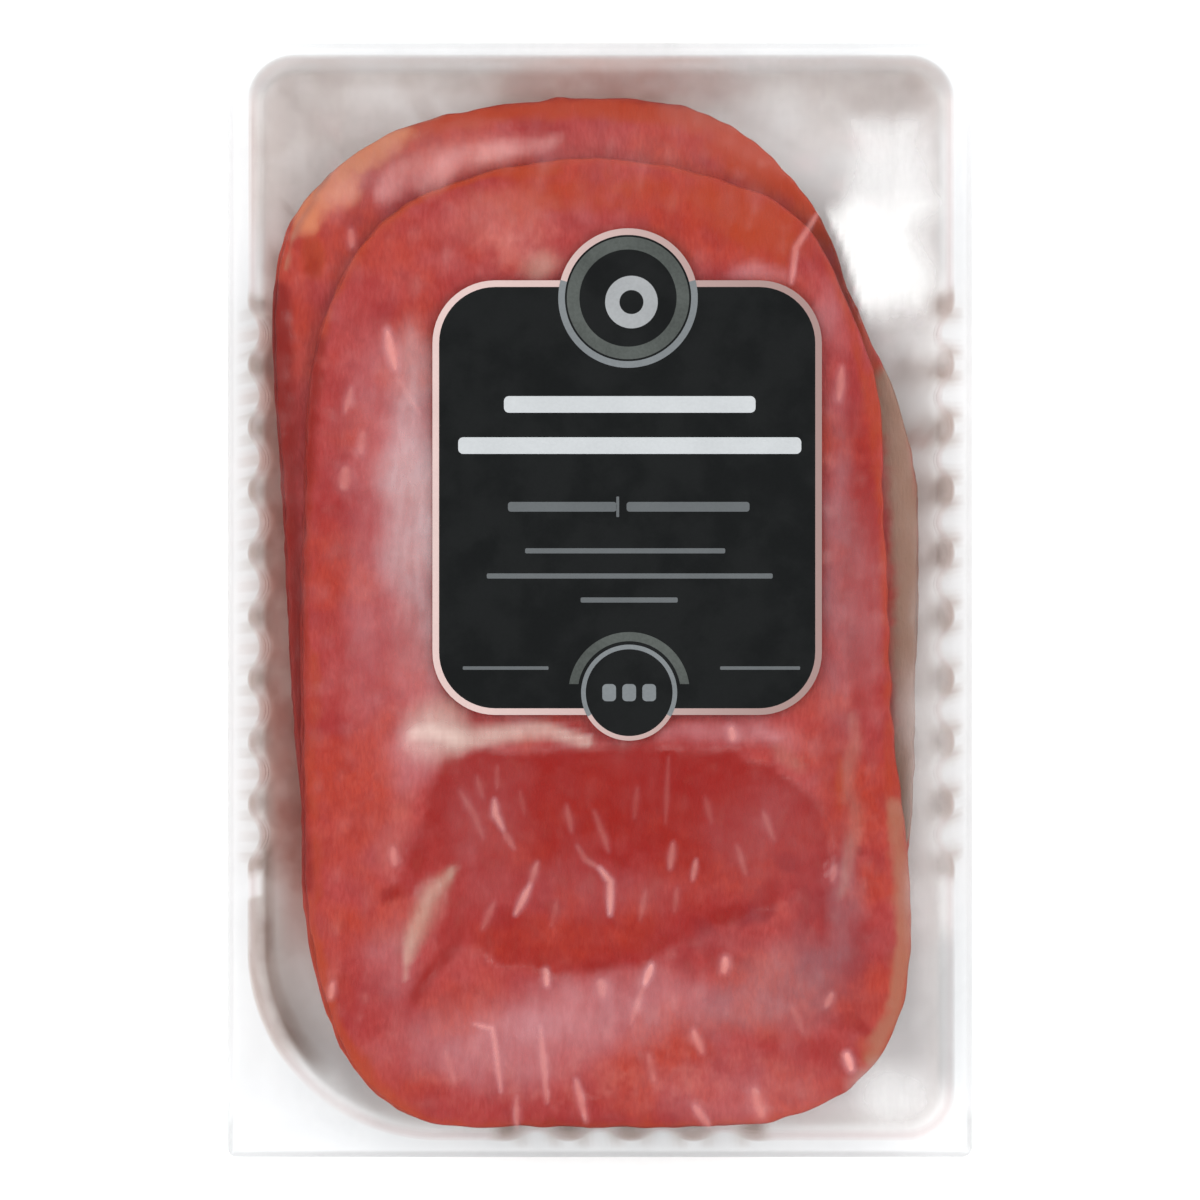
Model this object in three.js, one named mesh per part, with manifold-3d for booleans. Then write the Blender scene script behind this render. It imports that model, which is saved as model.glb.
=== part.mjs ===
// A sealed retail pack of sliced cured pork loin: a clear formed tray with fluted walls, the slices
// that lie in it, a clear lid film welded to the tray's flange, and a dark label stuck on the film.
//
// Millimetres. The pack lies on its back: X runs across it, Y along it and Z up out of the tray.
// The origin is the middle of the pack's outline, on the surface that the tray lies on.

import * as THREE from "three";
import { mergeVertices } from "three/addons/utils/BufferGeometryUtils.js";
import Module from "manifold-3d";

const wasm = await Module();
wasm.setup();

// ---- Driving dimensions ------------------------------------------------------------------------

const PACK_WIDTH = 130;
const PACK_LENGTH = 194.6;
const PACK_CORNER_RADIUS = 1.5;
const TRAY_HEIGHT = 12.5;
const WALL = 0.5; // of the tray, flange and floor alike
const FILM = 0.25;
const GAP = 0.1; // between pieces that touch

// The mouth of the tray's well, where its walls meet the flange. The bottom left corner is far
// rounder than the others, which leaves a wide tab of flange there to peel the lid by.
const MOUTH = { left: -61, right: 61.4, bottom: -94, top: 94.7 };
const WELL_CORNER_RADIUS = 7.5;
const PEEL_CORNER_RADIUS = 33;
const WALL_DRAFT = 0.06; // how far the wall leans in for each millimetre down
const LIP_RADIUS = 0.9; // where the flange turns down into the wall
const FLOOR_RADIUS = 1.6; // where the wall turns into the floor
const LIP_SEGMENTS = 2;
const FLOOR_SEGMENTS = 3;
const WELL_CORNER_SEGMENTS = 5;
const PEEL_CORNER_SEGMENTS = 12;
const PACK_CORNER_SEGMENTS = 3;

// Upright flutes in three of the walls. Between two flutes the wall stands in by its flute depth.
const FLUTE_PITCH = 11;
const SIDE_FLUTES = { first: -46.8, count: 10, depth: 2.1 };
const END_FLUTES = { first: -16.6, count: 5, depth: 1.4 };
const POINTS_PER_FLUTE = 6;
const FLUTE_LEFT_AT_FLOOR = 0.5; // the share of a flute's depth that is left where it meets the floor
const PLAIN_STEP = 9; // between points along a plain stretch of wall

// The slices. The lower ones lie higher up the pack and reach further to the right than the upper
// ones, so that both show from above. Each outline goes counter-clockwise through its own points.
const SLICE = 1.1;
const SLICE_GAP = 0.12;
const SLICE_EDGE = 0.35; // how far a slice's faces stand back from its rounded edge
const SLICE_POINTS = 56;
const LOWER_SLICES = 6;
const UPPER_SLICES = 2;
const LOWER_OUTLINE = [
  [0, 87.9],
  [-20, 86.2],
  [-37, 81.6],
  [-52, 69.4],
  [-56.4, 56],
  [-55.2, 17],
  [-52, -36],
  [-46, -63],
  [-28, -80],
  [8, -83],
  [38, -76],
  [52.5, -50],
  [55, -14],
  [54.8, 14],
  [50.5, 29],
  [44.8, 49],
  [36.6, 70],
  [20, 84.6],
];
const UPPER_OUTLINE = [
  [-3, 77],
  [-22, 74],
  [-38, 66],
  [-49, 46],
  [-51.6, 12],
  [-51.6, -30],
  [-50.8, -56],
  [-46.8, -73],
  [-41, -84],
  [-30, -91.3],
  [-14, -92],
  [18, -92],
  [32.5, -90.6],
  [46, -83.4],
  [52.8, -71],
  [54.2, -52],
  [51, -20],
  [49.4, 14],
  [45, 44],
  [35.5, 66],
  [18, 74.4],
];
const FAN_STEP = 0.3; // how much higher up the pack each lower slice lies than the one under it
const STRAY = 0.5; // the most that a slice lies to the left or right of its group's top one
const STRAY_TURN = 0.5; // degrees, likewise
const TUCKED_SLICES = 2; // the lowest ones, drawn in to clear the turn of the tray's floor
const TUCK = 0.018; // as a share of the slice's size, once more for each slice further down
const SHADE_STEP = 0.015; // the most that a slice's lightness differs

// The film lies on the slices. It drops from the flange over a short reach inside the mouth, clear
// of the wall between the flutes, and again past the upper slices' far edge, an arc, where only the
// lower slices bear it.
const FILM_DROP = 1.5;
const FILM_START = 1.3;
const FILM_REACH = 8;
const SHOULDER_DROP = 2.1;
const SHOULDER_REACH = 6;
const SHOULDER_TOP = { x: -2, y: 82, curve: 118 };
const FILM_WELD = 1.2; // how far the sheet over the mouth reaches out onto the flange
const FILM_RINGS = [1, 0.97, 0.94, 0.91, 0.88, 0.85, 0.82, 0.78, 0.7, 0.55, 0.4, 0.2];
const FILM_POINT_EVERY = 3; // of the mouth's points

// The label: a rounded panel with a round badge over its top edge and a smaller one over its bottom.
const LABEL = 0.16;
const LABEL_PANEL = { left: -28.5, right: 38.8, bottom: -20.1, top: 55.4 };
const LABEL_RADIUS = 9;
const TOP_BADGE = { x: 4.9, y: 52.8, radius: 12.2 };
const BOTTOM_BADGE = { x: 5.1, y: -16.2, radius: 8.4 };
const CORNER_SEGMENTS = 6;
const BADGE_SEGMENTS = 40;

// ---- Materials ---------------------------------------------------------------------------------

function clear(color, roughness, opacity) {
  return new THREE.MeshStandardMaterial({ color, roughness, metalness: 0, opacity, transparent: true });
}

function opaque(color, roughness) {
  return new THREE.MeshStandardMaterial({ color, roughness, metalness: 0 });
}

const TRAY_CLEAR = clear(0xf2f1ef, 0.12, 0.3);
const FILM_CLEAR = clear(0xf4eeee, 0.08, 0.2);
const LOIN_RED = 0xb9463f;
const LABEL_BLACK = opaque(0x1f2524, 0.45);

// ---- Solids ------------------------------------------------------------------------------------

// A closed geometry as a solid that can be joined with another.
function toSolid(geometry) {
  const bare = geometry.index ? geometry.toNonIndexed() : geometry.clone();
  bare.deleteAttribute("normal");
  bare.deleteAttribute("uv");
  const merged = mergeVertices(bare, 1e-4);
  const vertProperties = new Float32Array(merged.attributes.position.array);
  const triVerts = new Uint32Array(merged.index.array);
  return new wasm.Manifold(new wasm.Mesh({ numProp: 3, vertProperties, triVerts }));
}

// The geometries joined into one.
function join(...geometries) {
  const solid = geometries.map(toSolid).reduce((whole, next) => whole.add(next));
  const mesh = solid.getMesh();
  const geometry = new THREE.BufferGeometry();
  geometry.setAttribute("position", new THREE.BufferAttribute(mesh.vertProperties, 3));
  geometry.setIndex(new THREE.BufferAttribute(mesh.triVerts, 1));
  geometry.computeVertexNormals();
  return geometry;
}

// The middle of a ring of points.
function middleOf(ring) {
  const sum = ring.reduce((total, point) => total.add(point), new THREE.Vector3());
  return sum.divideScalar(ring.length);
}

// One closed skin through rings of points, each going counter-clockwise seen from above. The skin
// starts on the middle of the first ring, from below, and ends on the middle of the last, from above.
function loft(rings) {
  const count = rings[0].length;
  const points = [...rings.flat(), middleOf(rings[0]), middleOf(rings.at(-1))];
  const firstMiddle = points.length - 2;
  const lastMiddle = points.length - 1;
  const lastRing = (rings.length - 1) * count;
  const faces = [];
  for (let i = 0; i < count; i += 1) {
    const next = (i + 1) % count;
    faces.push(firstMiddle, next, i);
    for (let base = 0; base < lastRing; base += count) {
      faces.push(base + i, base + next, base + count + next);
      faces.push(base + i, base + count + next, base + count + i);
    }
    faces.push(lastMiddle, lastRing + i, lastRing + next);
  }
  const geometry = new THREE.BufferGeometry().setFromPoints(points);
  geometry.setIndex(faces);
  geometry.computeVertexNormals();
  return geometry;
}

// A flat plate between two heights, with the outline of a THREE.Shape.
function plate(shape, bottom, thickness, curveSegments) {
  const options = { depth: thickness, bevelEnabled: false, curveSegments };
  return new THREE.ExtrudeGeometry(shape, options).translate(0, 0, bottom);
}

// A rectangle with four equal round corners.
function roundedRectangle({ left, right, bottom, top }, radius) {
  const shape = new THREE.Shape();
  shape.moveTo(left + radius, bottom);
  shape.absarc(right - radius, bottom + radius, radius, -Math.PI / 2, 0, false);
  shape.absarc(right - radius, top - radius, radius, 0, Math.PI / 2, false);
  shape.absarc(left + radius, top - radius, radius, Math.PI / 2, Math.PI, false);
  shape.absarc(left + radius, bottom + radius, radius, Math.PI, Math.PI * 1.5, false);
  return shape;
}

// ---- The outline of the well --------------------------------------------------------------------

// Values from one end to the other, evenly spread and no further apart than `longest`.
function spread(from, to, longest) {
  const steps = Math.max(1, Math.round(Math.abs(to - from) / longest));
  return Array.from({ length: steps + 1 }, (_, i) => from + ((to - from) * i) / steps);
}

// Places along a wall: wide apart on its plain stretches and close together along its flutes.
function stationsAlong(from, to, flutes) {
  if (!flutes) return spread(from, to, PLAIN_STEP);
  const low = flutes.first;
  const high = flutes.first + (flutes.count - 1) * FLUTE_PITCH;
  const [near, far] = from < to ? [low, high] : [high, low];
  return [
    ...spread(from, near, PLAIN_STEP).slice(0, -1),
    ...spread(near, far, FLUTE_PITCH / POINTS_PER_FLUTE),
    ...spread(far, to, PLAIN_STEP).slice(1),
  ];
}

// How far the wall stands in at a place along it: nothing in a flute or on a plain stretch.
function standIn(place, flutes) {
  if (!flutes) return 0;
  const turns = (place - flutes.first) / FLUTE_PITCH;
  if (turns <= 0 || turns >= flutes.count - 1) return 0;
  return (flutes.depth / 2) * (1 - Math.cos(2 * Math.PI * turns));
}

// The mouth's outline, counter-clockwise, as points with their outward direction and how far the
// wall stands in there.
function traceMouth() {
  const { left, right, bottom, top } = MOUTH;
  const small = WELL_CORNER_RADIUS;
  const peel = PEEL_CORNER_RADIUS;
  const trace = [];
  const wall = (from, to, flutes, pointAt, nx, ny) => {
    for (const place of stationsAlong(from, to, flutes)) {
      const [x, y] = pointAt(place);
      trace.push({ x, y, nx, ny, inward: standIn(place, flutes) });
    }
  };
  const corner = (cx, cy, radius, startAngle) => {
    const segments = radius === peel ? PEEL_CORNER_SEGMENTS : WELL_CORNER_SEGMENTS;
    for (let i = 1; i < segments; i += 1) {
      const angle = startAngle + ((Math.PI / 2) * i) / segments;
      const nx = Math.cos(angle);
      const ny = Math.sin(angle);
      trace.push({ x: cx + radius * nx, y: cy + radius * ny, nx, ny, inward: 0 });
    }
  };
  wall(left + peel, right - small, END_FLUTES, (x) => [x, bottom], 0, -1);
  corner(right - small, bottom + small, small, -Math.PI / 2);
  wall(bottom + small, top - small, SIDE_FLUTES, (y) => [right, y], 1, 0);
  corner(right - small, top - small, small, 0);
  wall(right - small, left + small, null, (x) => [x, top], 0, 1);
  corner(left + small, top - small, small, Math.PI / 2);
  wall(top - small, bottom + peel, SIDE_FLUTES, (y) => [left, y], -1, 0);
  corner(left + peel, bottom + peel, peel, Math.PI);
  return trace;
}

const MOUTH_TRACE = traceMouth();

// The mouth's outline moved out by `outset`, at one height. `fluting` is 1 for the flutes at their
// full depth and 0 for none.
function mouthRing(outset, z, fluting) {
  return MOUTH_TRACE.map(({ x, y, nx, ny, inward }) => {
    const move = outset - inward * fluting;
    return new THREE.Vector3(x + nx * move, y + ny * move, z);
  });
}

// How far a point lies inside the mouth's outline.
function depthInsideMouth(x, y) {
  const halfWidth = (MOUTH.right - MOUTH.left) / 2;
  const halfLength = (MOUTH.top - MOUTH.bottom) / 2;
  const fromMiddleX = x - (MOUTH.left + halfWidth);
  const fromMiddleY = y - (MOUTH.bottom + halfLength);
  const isPeelCorner = fromMiddleX < 0 && fromMiddleY < 0;
  const radius = isPeelCorner ? PEEL_CORNER_RADIUS : WELL_CORNER_RADIUS;
  const overX = Math.abs(fromMiddleX) - halfWidth + radius;
  const overY = Math.abs(fromMiddleY) - halfLength + radius;
  const outside = Math.hypot(Math.max(overX, 0), Math.max(overY, 0));
  return radius - outside - Math.min(Math.max(overX, overY), 0);
}

// A plate with the pack's outline, and the well's mouth cut out of it a little wider, with or
// without its flutes.
function flangePlate(bottom, thickness, mouthOutset, fluting) {
  const halfWidth = PACK_WIDTH / 2;
  const halfLength = PACK_LENGTH / 2;
  const outline = { left: -halfWidth, right: halfWidth, bottom: -halfLength, top: halfLength };
  const shape = roundedRectangle(outline, PACK_CORNER_RADIUS);
  const mouth = mouthRing(mouthOutset, bottom, fluting).map(({ x, y }) => new THREE.Vector2(x, y));
  shape.holes.push(new THREE.Path(mouth));
  return plate(shape, bottom, thickness, PACK_CORNER_SEGMENTS);
}

// ---- Tray --------------------------------------------------------------------------------------

// The wall's inner face as a section, from the flange's top down to the floor. Each point says how
// far out from the mouth it is, its height, and how much of the fluting it takes.
function wallSection() {
  const section = [];
  for (let i = 0; i <= LIP_SEGMENTS; i += 1) {
    const angle = ((Math.PI / 2) * i) / LIP_SEGMENTS;
    const outset = LIP_RADIUS * (1 - Math.sin(angle));
    section.push({ outset, z: TRAY_HEIGHT - LIP_RADIUS * (1 - Math.cos(angle)), fluting: 1 });
  }
  const foot = -WALL_DRAFT * (TRAY_HEIGHT - LIP_RADIUS - FLOOR_RADIUS);
  for (let i = 0; i <= FLOOR_SEGMENTS; i += 1) {
    const share = i / FLOOR_SEGMENTS;
    const angle = (Math.PI / 2) * share;
    const outset = foot - FLOOR_RADIUS * (1 - Math.cos(angle));
    const fluting = 1 - (1 - FLUTE_LEFT_AT_FLOOR) * share;
    section.push({ outset, z: WALL + FLOOR_RADIUS * (1 - Math.sin(angle)), fluting });
  }
  return section;
}

// The same section moved square to itself by the wall's thickness, away from the well.
function outerSection(section) {
  return section.map((point, i) => {
    const before = section[Math.max(i - 1, 0)];
    const after = section[Math.min(i + 1, section.length - 1)];
    const along = new THREE.Vector2(after.outset - before.outset, after.z - before.z).normalize();
    const isFirst = i === 0;
    const isLast = i === section.length - 1;
    return {
      outset: point.outset - (isFirst || isLast ? 0 : along.y * WALL),
      z: point.z + (isFirst || isLast ? -1 : along.x) * WALL,
      fluting: point.fluting,
    };
  });
}

function trayGeometry() {
  const inner = wallSection();
  const outer = outerSection(inner).reverse();
  const rings = [...outer, ...inner].map(({ outset, z, fluting }) => mouthRing(outset, z, fluting));
  return join(loft(rings), flangePlate(TRAY_HEIGHT - WALL, WALL, LIP_RADIUS / 2, 1));
}

// ---- Slices ------------------------------------------------------------------------------------

// A slice as a thin plate with a rounded edge, its outline smooth through the given points.
function sliceGeometry(outline, bottom, scale) {
  const corners = outline.map(([x, y]) => new THREE.Vector3(x, y, 0));
  const curve = new THREE.CatmullRomCurve3(corners, true, "centripetal");
  const edge = curve.getSpacedPoints(SLICE_POINTS).slice(0, SLICE_POINTS);
  const middle = middleOf(edge);
  const ringAt = (inset, z) =>
    edge.map((point) => {
      const out = point.clone().sub(middle);
      const length = out.length() * scale - inset;
      return out.setLength(length).add(middle).setZ(z);
    });
  return loft([
    ringAt(SLICE_EDGE, bottom),
    ringAt(0, bottom + SLICE / 2),
    ringAt(SLICE_EDGE, bottom + SLICE),
  ]);
}

// A number from -1 to 1 that changes from slice to slice, in step with its own rate.
function vary(index, rate) {
  return Math.sin(rate * (index + 1));
}

// A slice's mesh. The top slice of a group keeps its outline's place, and those under it are moved
// and turned a little, so that the stack isn't a perfect one.
function sliceMesh(index) {
  const isLower = index < LOWER_SLICES;
  const outline = isLower ? LOWER_OUTLINE : UPPER_OUTLINE;
  const groupTop = isLower ? LOWER_SLICES - 1 : LOWER_SLICES + UPPER_SLICES - 1;
  const bottom = WALL + GAP + index * (SLICE + SLICE_GAP);
  const tuck = TUCK * Math.max(0, TUCKED_SLICES - index);
  const color = new THREE.Color(LOIN_RED).offsetHSL(0, 0, SHADE_STEP * vary(index, 2.3));
  const mesh = new THREE.Mesh(sliceGeometry(outline, bottom, 1 - tuck), opaque(color, 0.35));
  mesh.name = `slice_${index + 1}`;
  if (index < groupTop) {
    const down = isLower ? FAN_STEP * (groupTop - index) : 0;
    mesh.position.set(STRAY * vary(index, 2.4), -down, 0);
    mesh.rotation.z = THREE.MathUtils.degToRad(STRAY_TURN * vary(index, 1.7));
  }
  return mesh;
}

// ---- Lid film ----------------------------------------------------------------------------------

// The height of the film's underside over a point of the well.
function filmHeight(x, y) {
  const sag = THREE.MathUtils.smoothstep(depthInsideMouth(x, y), FILM_START, FILM_REACH);
  const arc = SHOULDER_TOP.y - (x - SHOULDER_TOP.x) ** 2 / SHOULDER_TOP.curve;
  const pastArc = THREE.MathUtils.smoothstep(y - arc, 0, SHOULDER_REACH);
  return TRAY_HEIGHT + GAP - sag * (FILM_DROP + SHOULDER_DROP * pastArc);
}

// A sheet over the mouth, draped by filmHeight, joined to a flat frame on the flange.
function filmGeometry() {
  const middle = new THREE.Vector3((MOUTH.left + MOUTH.right) / 2, (MOUTH.bottom + MOUTH.top) / 2, 0);
  const plainRing = (outset) => mouthRing(outset, 0, 0).filter((_, i) => i % FILM_POINT_EVERY === 0);
  const edge = plainRing(0);
  const weld = plainRing(FILM_WELD);
  const underside = [
    weld,
    ...FILM_RINGS.map((share) => edge.map((point) => point.clone().lerp(middle, 1 - share))),
  ];
  const lifted = (rings, lift) =>
    rings.map((ring) => ring.map(({ x, y }) => new THREE.Vector3(x, y, filmHeight(x, y) + lift)));
  const sheet = loft([...lifted(underside, 0).reverse(), ...lifted(underside, FILM)]);
  return join(sheet, flangePlate(TRAY_HEIGHT + GAP, FILM, FILM_WELD / 2, 0));
}

// ---- Label -------------------------------------------------------------------------------------

function labelGeometry() {
  const bottom = TRAY_HEIGHT + GAP - FILM_DROP + FILM + GAP;
  const panel = plate(roundedRectangle(LABEL_PANEL, LABEL_RADIUS), bottom, LABEL, CORNER_SEGMENTS);
  const badges = [TOP_BADGE, BOTTOM_BADGE].map(({ x, y, radius }) => {
    const disc = new THREE.Shape().absarc(x, y, radius, 0, Math.PI * 2, false);
    return plate(disc, bottom, LABEL, BADGE_SEGMENTS);
  });
  return join(panel, ...badges);
}

// ---- The pack ----------------------------------------------------------------------------------

function named(name, geometry, material) {
  const mesh = new THREE.Mesh(geometry, material);
  mesh.name = name;
  return mesh;
}

const pack = new THREE.Group();
pack.add(named("tray", trayGeometry(), TRAY_CLEAR));
for (let index = 0; index < LOWER_SLICES + UPPER_SLICES; index += 1) pack.add(sliceMesh(index));
pack.add(named("lid_film", filmGeometry(), FILM_CLEAR));
pack.add(named("label", labelGeometry(), LABEL_BLACK));

export default pack;
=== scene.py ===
import math

import bmesh
import bpy
import numpy as np
from bpy.props import FloatProperty, FloatVectorProperty, PointerProperty
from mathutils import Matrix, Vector


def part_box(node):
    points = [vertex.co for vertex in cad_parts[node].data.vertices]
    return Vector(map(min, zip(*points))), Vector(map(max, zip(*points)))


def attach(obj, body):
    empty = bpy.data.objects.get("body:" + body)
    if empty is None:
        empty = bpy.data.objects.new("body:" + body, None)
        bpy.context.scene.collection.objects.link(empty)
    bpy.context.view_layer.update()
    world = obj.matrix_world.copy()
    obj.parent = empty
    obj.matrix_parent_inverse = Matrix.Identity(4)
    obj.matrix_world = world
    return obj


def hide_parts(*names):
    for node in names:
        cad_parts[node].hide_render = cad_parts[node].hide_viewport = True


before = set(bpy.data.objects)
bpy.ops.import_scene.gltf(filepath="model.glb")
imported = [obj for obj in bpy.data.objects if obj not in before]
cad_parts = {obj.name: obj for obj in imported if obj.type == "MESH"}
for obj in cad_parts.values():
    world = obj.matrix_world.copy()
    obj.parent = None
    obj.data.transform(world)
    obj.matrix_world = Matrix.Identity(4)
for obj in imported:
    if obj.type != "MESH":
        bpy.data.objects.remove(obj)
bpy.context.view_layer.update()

bl_info = {
    "name": "Sliced Loin Pack",
    "version": (1, 0, 0),
    "blender": (4, 5, 0),
    "location": "3D View > Sidebar > Loin Pack",
    "description": "Builds a clear sealed pack of sliced cured pork loin around its packed CAD model",
    "category": "Add Mesh",
}

# Lengths are metres, in the frame of the CAD model: the pack lies flat, Y runs along it and Z up.
MM = 0.001
BODY = "root"

# ---- Places that come from the frame -----------------------------------------------------------

TRAY_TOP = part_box("tray")[1]
LABEL_LOW, LABEL_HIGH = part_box("label")
HALF_WIDTH = TRAY_TOP.x
HALF_LENGTH = TRAY_TOP.y
FLANGE_TOP = TRAY_TOP.z
SLICES = [f"slice_{number}" for number in range(1, 9)]
LOWER_TOP = "slice_6"
UPPER_TOP = "slice_8"

# ---- The well, as the CAD model has it -----------------------------------------------------------

MOUTH_LEFT = -61 * MM
MOUTH_RIGHT = 61.4 * MM
MOUTH_BOTTOM = -94 * MM
MOUTH_TOP = 94.7 * MM
WELL_CORNER = 7.5 * MM
PEEL_CORNER = 33 * MM
PACK_CORNER = 1.5 * MM
FLUTE_PITCH = 11 * MM
FIRST_SIDE_FLUTE = -46.8 * MM
SIDE_FLUTES = 10
FIRST_END_FLUTE = -16.6 * MM
END_FLUTES = 5
FLUTE_LEFT_AT_FLOOR = 0.5

# The film drops from the flange to just over the slices, and again past the upper ones' far edge.
FILM_GAP = 0.1 * MM
FILM_START = 1.3 * MM
FILM_REACH = 11 * MM
FILM_DROP = 1.5 * MM
SHOULDER_DROP = 2.1 * MM
SHOULDER_REACH = 9 * MM
SHOULDER_X = -2 * MM
SHOULDER_Y = 82 * MM
SHOULDER_CURVE = 118 * MM
# Where it clings to the meat it lies this far above the slices' mean height.
CLING_GAP = 0.08 * MM

# The label's outline.
PANEL_LEFT = -29.3 * MM
PANEL_RIGHT = 38.8 * MM
PANEL_BOTTOM = -20.1 * MM
PANEL_TOP = 55.9 * MM
PANEL_CORNER = 11 * MM
TOP_BADGE = (4.9 * MM, 52.8 * MM, 12.2 * MM)
LOW_BADGE = (5.1 * MM, -16.2 * MM, 8.4 * MM)


# ---- Properties ----------------------------------------------------------------------------------


def length_property(name, description, default):
    given = {"name": name, "description": description, "default": default}
    return FloatProperty(**given, unit="LENGTH", precision=5)


def share_property(name, description, default):
    return FloatProperty(name=name, description=description, default=default, subtype="FACTOR")


def colour_property(name, description, default):
    return FloatVectorProperty(name=name, description=description, default=default, subtype="COLOR")


class LOINPACK_PG_tray(bpy.types.PropertyGroup):
    """Sizes and finish of the clear tray"""

    wall: length_property("Wall", "Thickness of the formed sheet", 0.5 * MM)
    lip: length_property("Lip Radius", "Radius where the flange turns down into the well", 0.7 * MM)
    floor: length_property("Floor Radius", "Radius where the walls turn into the floor", 1.6 * MM)
    side_depth: length_property("Side Flute Depth", "Depth of the flutes in the long walls", 2.1 * MM)
    end_depth: length_property("End Flute Depth", "Depth of the flutes in the near wall", 1.4 * MM)
    draft: share_property("Wall Draft", "How far the walls lean in for their height", 0.06)
    seal: length_property("Seal Step", "Depth of the groove that the sealing tool leaves", 0.12 * MM)
    tint: colour_property("Sheet Tint", "Colour of light through the sheet", (0.985, 0.983, 0.982))
    # Painted shade: the walls, seen edge on, are tinted darker than the floor.
    wall_shade_tint: colour_property("Wall Tint", "The same, through the walls", (0.915, 0.88, 0.88))
    flange: colour_property("Flange Tint", "The same, through the flange", (0.945, 0.958, 0.965))
    shade: colour_property("Shaded Tint", "The same, in the flutes and at the foot", (0.70, 0.63, 0.60))
    # Painted shade along the cut edge, where the lip bends and on parts of the flange.
    edge: colour_property("Edge Tint", "The same, along the cut edge", (0.72, 0.725, 0.73))
    # Painted shade beside the meat, tinged pink by the light that the meat throws back.
    pink_shade: colour_property("Blush", "The same, tinged by the meat beside it", (0.80, 0.59, 0.545))


class LOINPACK_PG_slices(bpy.types.PropertyGroup):
    """Form and colours of the slices"""

    relief: length_property("Relief", "Height of the slices' unevenness", 0.2 * MM)
    ragged: length_property("Ragged Edge", "How far a slice's edge strays in and out", 0.25 * MM)
    bulge: length_property("Bulge", "How far the right side stands out by the label", 3.2 * MM)
    lean: colour_property("Lean", "Most of the meat", (0.238, 0.018, 0.018))
    lean_pale: colour_property("Pale Lean", "Its lighter patches", (0.310, 0.042, 0.038))
    warm: colour_property("Warm Lean", "Its more orange patches", (0.330, 0.032, 0.008))
    plum: colour_property("Plum", "Its darker blotches", (0.165, 0.010, 0.013))
    deep: colour_property("Deep Red", "Moist meat that the film clings to", (0.190, 0.006, 0.004))
    smoked: colour_property("Smoked Edge", "The smoked rim", (0.270, 0.027, 0.005))
    tan: colour_property("Tan Fat", "Fat left on the rim", (0.410, 0.125, 0.052))
    rind: colour_property("Rind", "The dull brown edge on the right", (0.262, 0.088, 0.053))
    # Painted shade on the left side of the stack and along some of the slices' edges.
    maroon_shade: colour_property("Maroon", "The dry, dark left side", (0.160, 0.004, 0.001))
    # A greyer brown along the lower slices' right side.
    grey: colour_property("Grey Brown", "The dry right side of the lower slices", (0.200, 0.122, 0.088))
    # Also the tone of a few pale ovals that are painted glare and a painted highlight.
    fat_and_highlight: colour_property("Fat", "Pale places of the lean", (0.50, 0.17, 0.14))


class LOINPACK_PG_film(bpy.types.PropertyGroup):
    """Form and finish of the lid film"""

    thickness: length_property("Thickness", "Thickness of the film", 0.25 * MM)
    billow: length_property("Billow", "Height of the film's wide waves", 0.2 * MM)
    # The film's base haze and its colour, under the painted glare and glints.
    haze_and_glare: share_property("Haze", "How milky the film is where nothing shows on it", 0.010)
    milk_and_glare: colour_property("Milk", "Colour of that haze", (0.61, 0.53, 0.55))


class LOINPACK_PG_label(bpy.types.PropertyGroup):
    """Print of the label"""

    border: length_property("Border", "Width of the pale border", 1.15 * MM)
    ink: length_property("Ink", "How far the print stands up from the label", 0.02 * MM)
    ground: colour_property("Ground", "The label's dark ground", (0.0030, 0.0036, 0.0038))
    cream: colour_property("Cream", "Border and badge rings", (0.42, 0.315, 0.300))
    cream_dull: colour_property("Dull Cream", "The same, on the right", (0.225, 0.150, 0.140))
    white: colour_property("White", "The two widest bars", (0.34, 0.355, 0.365))
    grey: colour_property("Grey", "The thin bars", (0.075, 0.082, 0.086))
    dim: colour_property("Dim Grey", "The badges' bands", (0.040, 0.045, 0.042))


class LOINPACK_PG_stage(bpy.types.PropertyGroup):
    """Camera, floor and lights"""

    frame_width: length_property("Frame Width", "Width that the camera sees", 209.68 * MM)
    lens: FloatProperty(
        name="Lens", description="Focal length", default=200.0, subtype="DISTANCE_CAMERA"
    )
    floor: colour_property("Floor", "Colour of the floor", (0.80, 0.80, 0.80))


class LOINPACK_PG_pack(bpy.types.PropertyGroup):
    """Everything a user of the pack can change"""

    tray: PointerProperty(type=LOINPACK_PG_tray)
    slices: PointerProperty(type=LOINPACK_PG_slices)
    film: PointerProperty(type=LOINPACK_PG_film)
    label: PointerProperty(type=LOINPACK_PG_label)
    stage: PointerProperty(type=LOINPACK_PG_stage)


# ---- Shapes in the plane -------------------------------------------------------------------------


def smooth(value, low, high):
    """0 below low, 1 above high and an even turn between."""
    share = np.clip((value - low) / (high - low), 0.0, 1.0)
    return share * share * (3.0 - 2.0 * share)


def band(value, start, full, still, end):
    """0 below start, 1 from full to still and 0 again above end. These four are millimetres."""
    return smooth(value, start * MM, full * MM) * (1.0 - smooth(value, still * MM, end * MM))


def waves(x, y, length, seed):
    """Aimless unevenness from about -1 to 1 whose bumps are about `length` across."""
    draw = np.random.default_rng(seed)
    total = np.zeros_like(x, dtype=float)
    count = 9
    for _ in range(count):
        angle = draw.uniform(0.0, 2.0 * math.pi)
        rate = 2.0 * math.pi * draw.uniform(0.55, 1.45) / length
        total += np.sin(rate * (x * math.cos(angle) + y * math.sin(angle)) + draw.uniform(0.0, 6.28))
    return total / math.sqrt(count)


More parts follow.
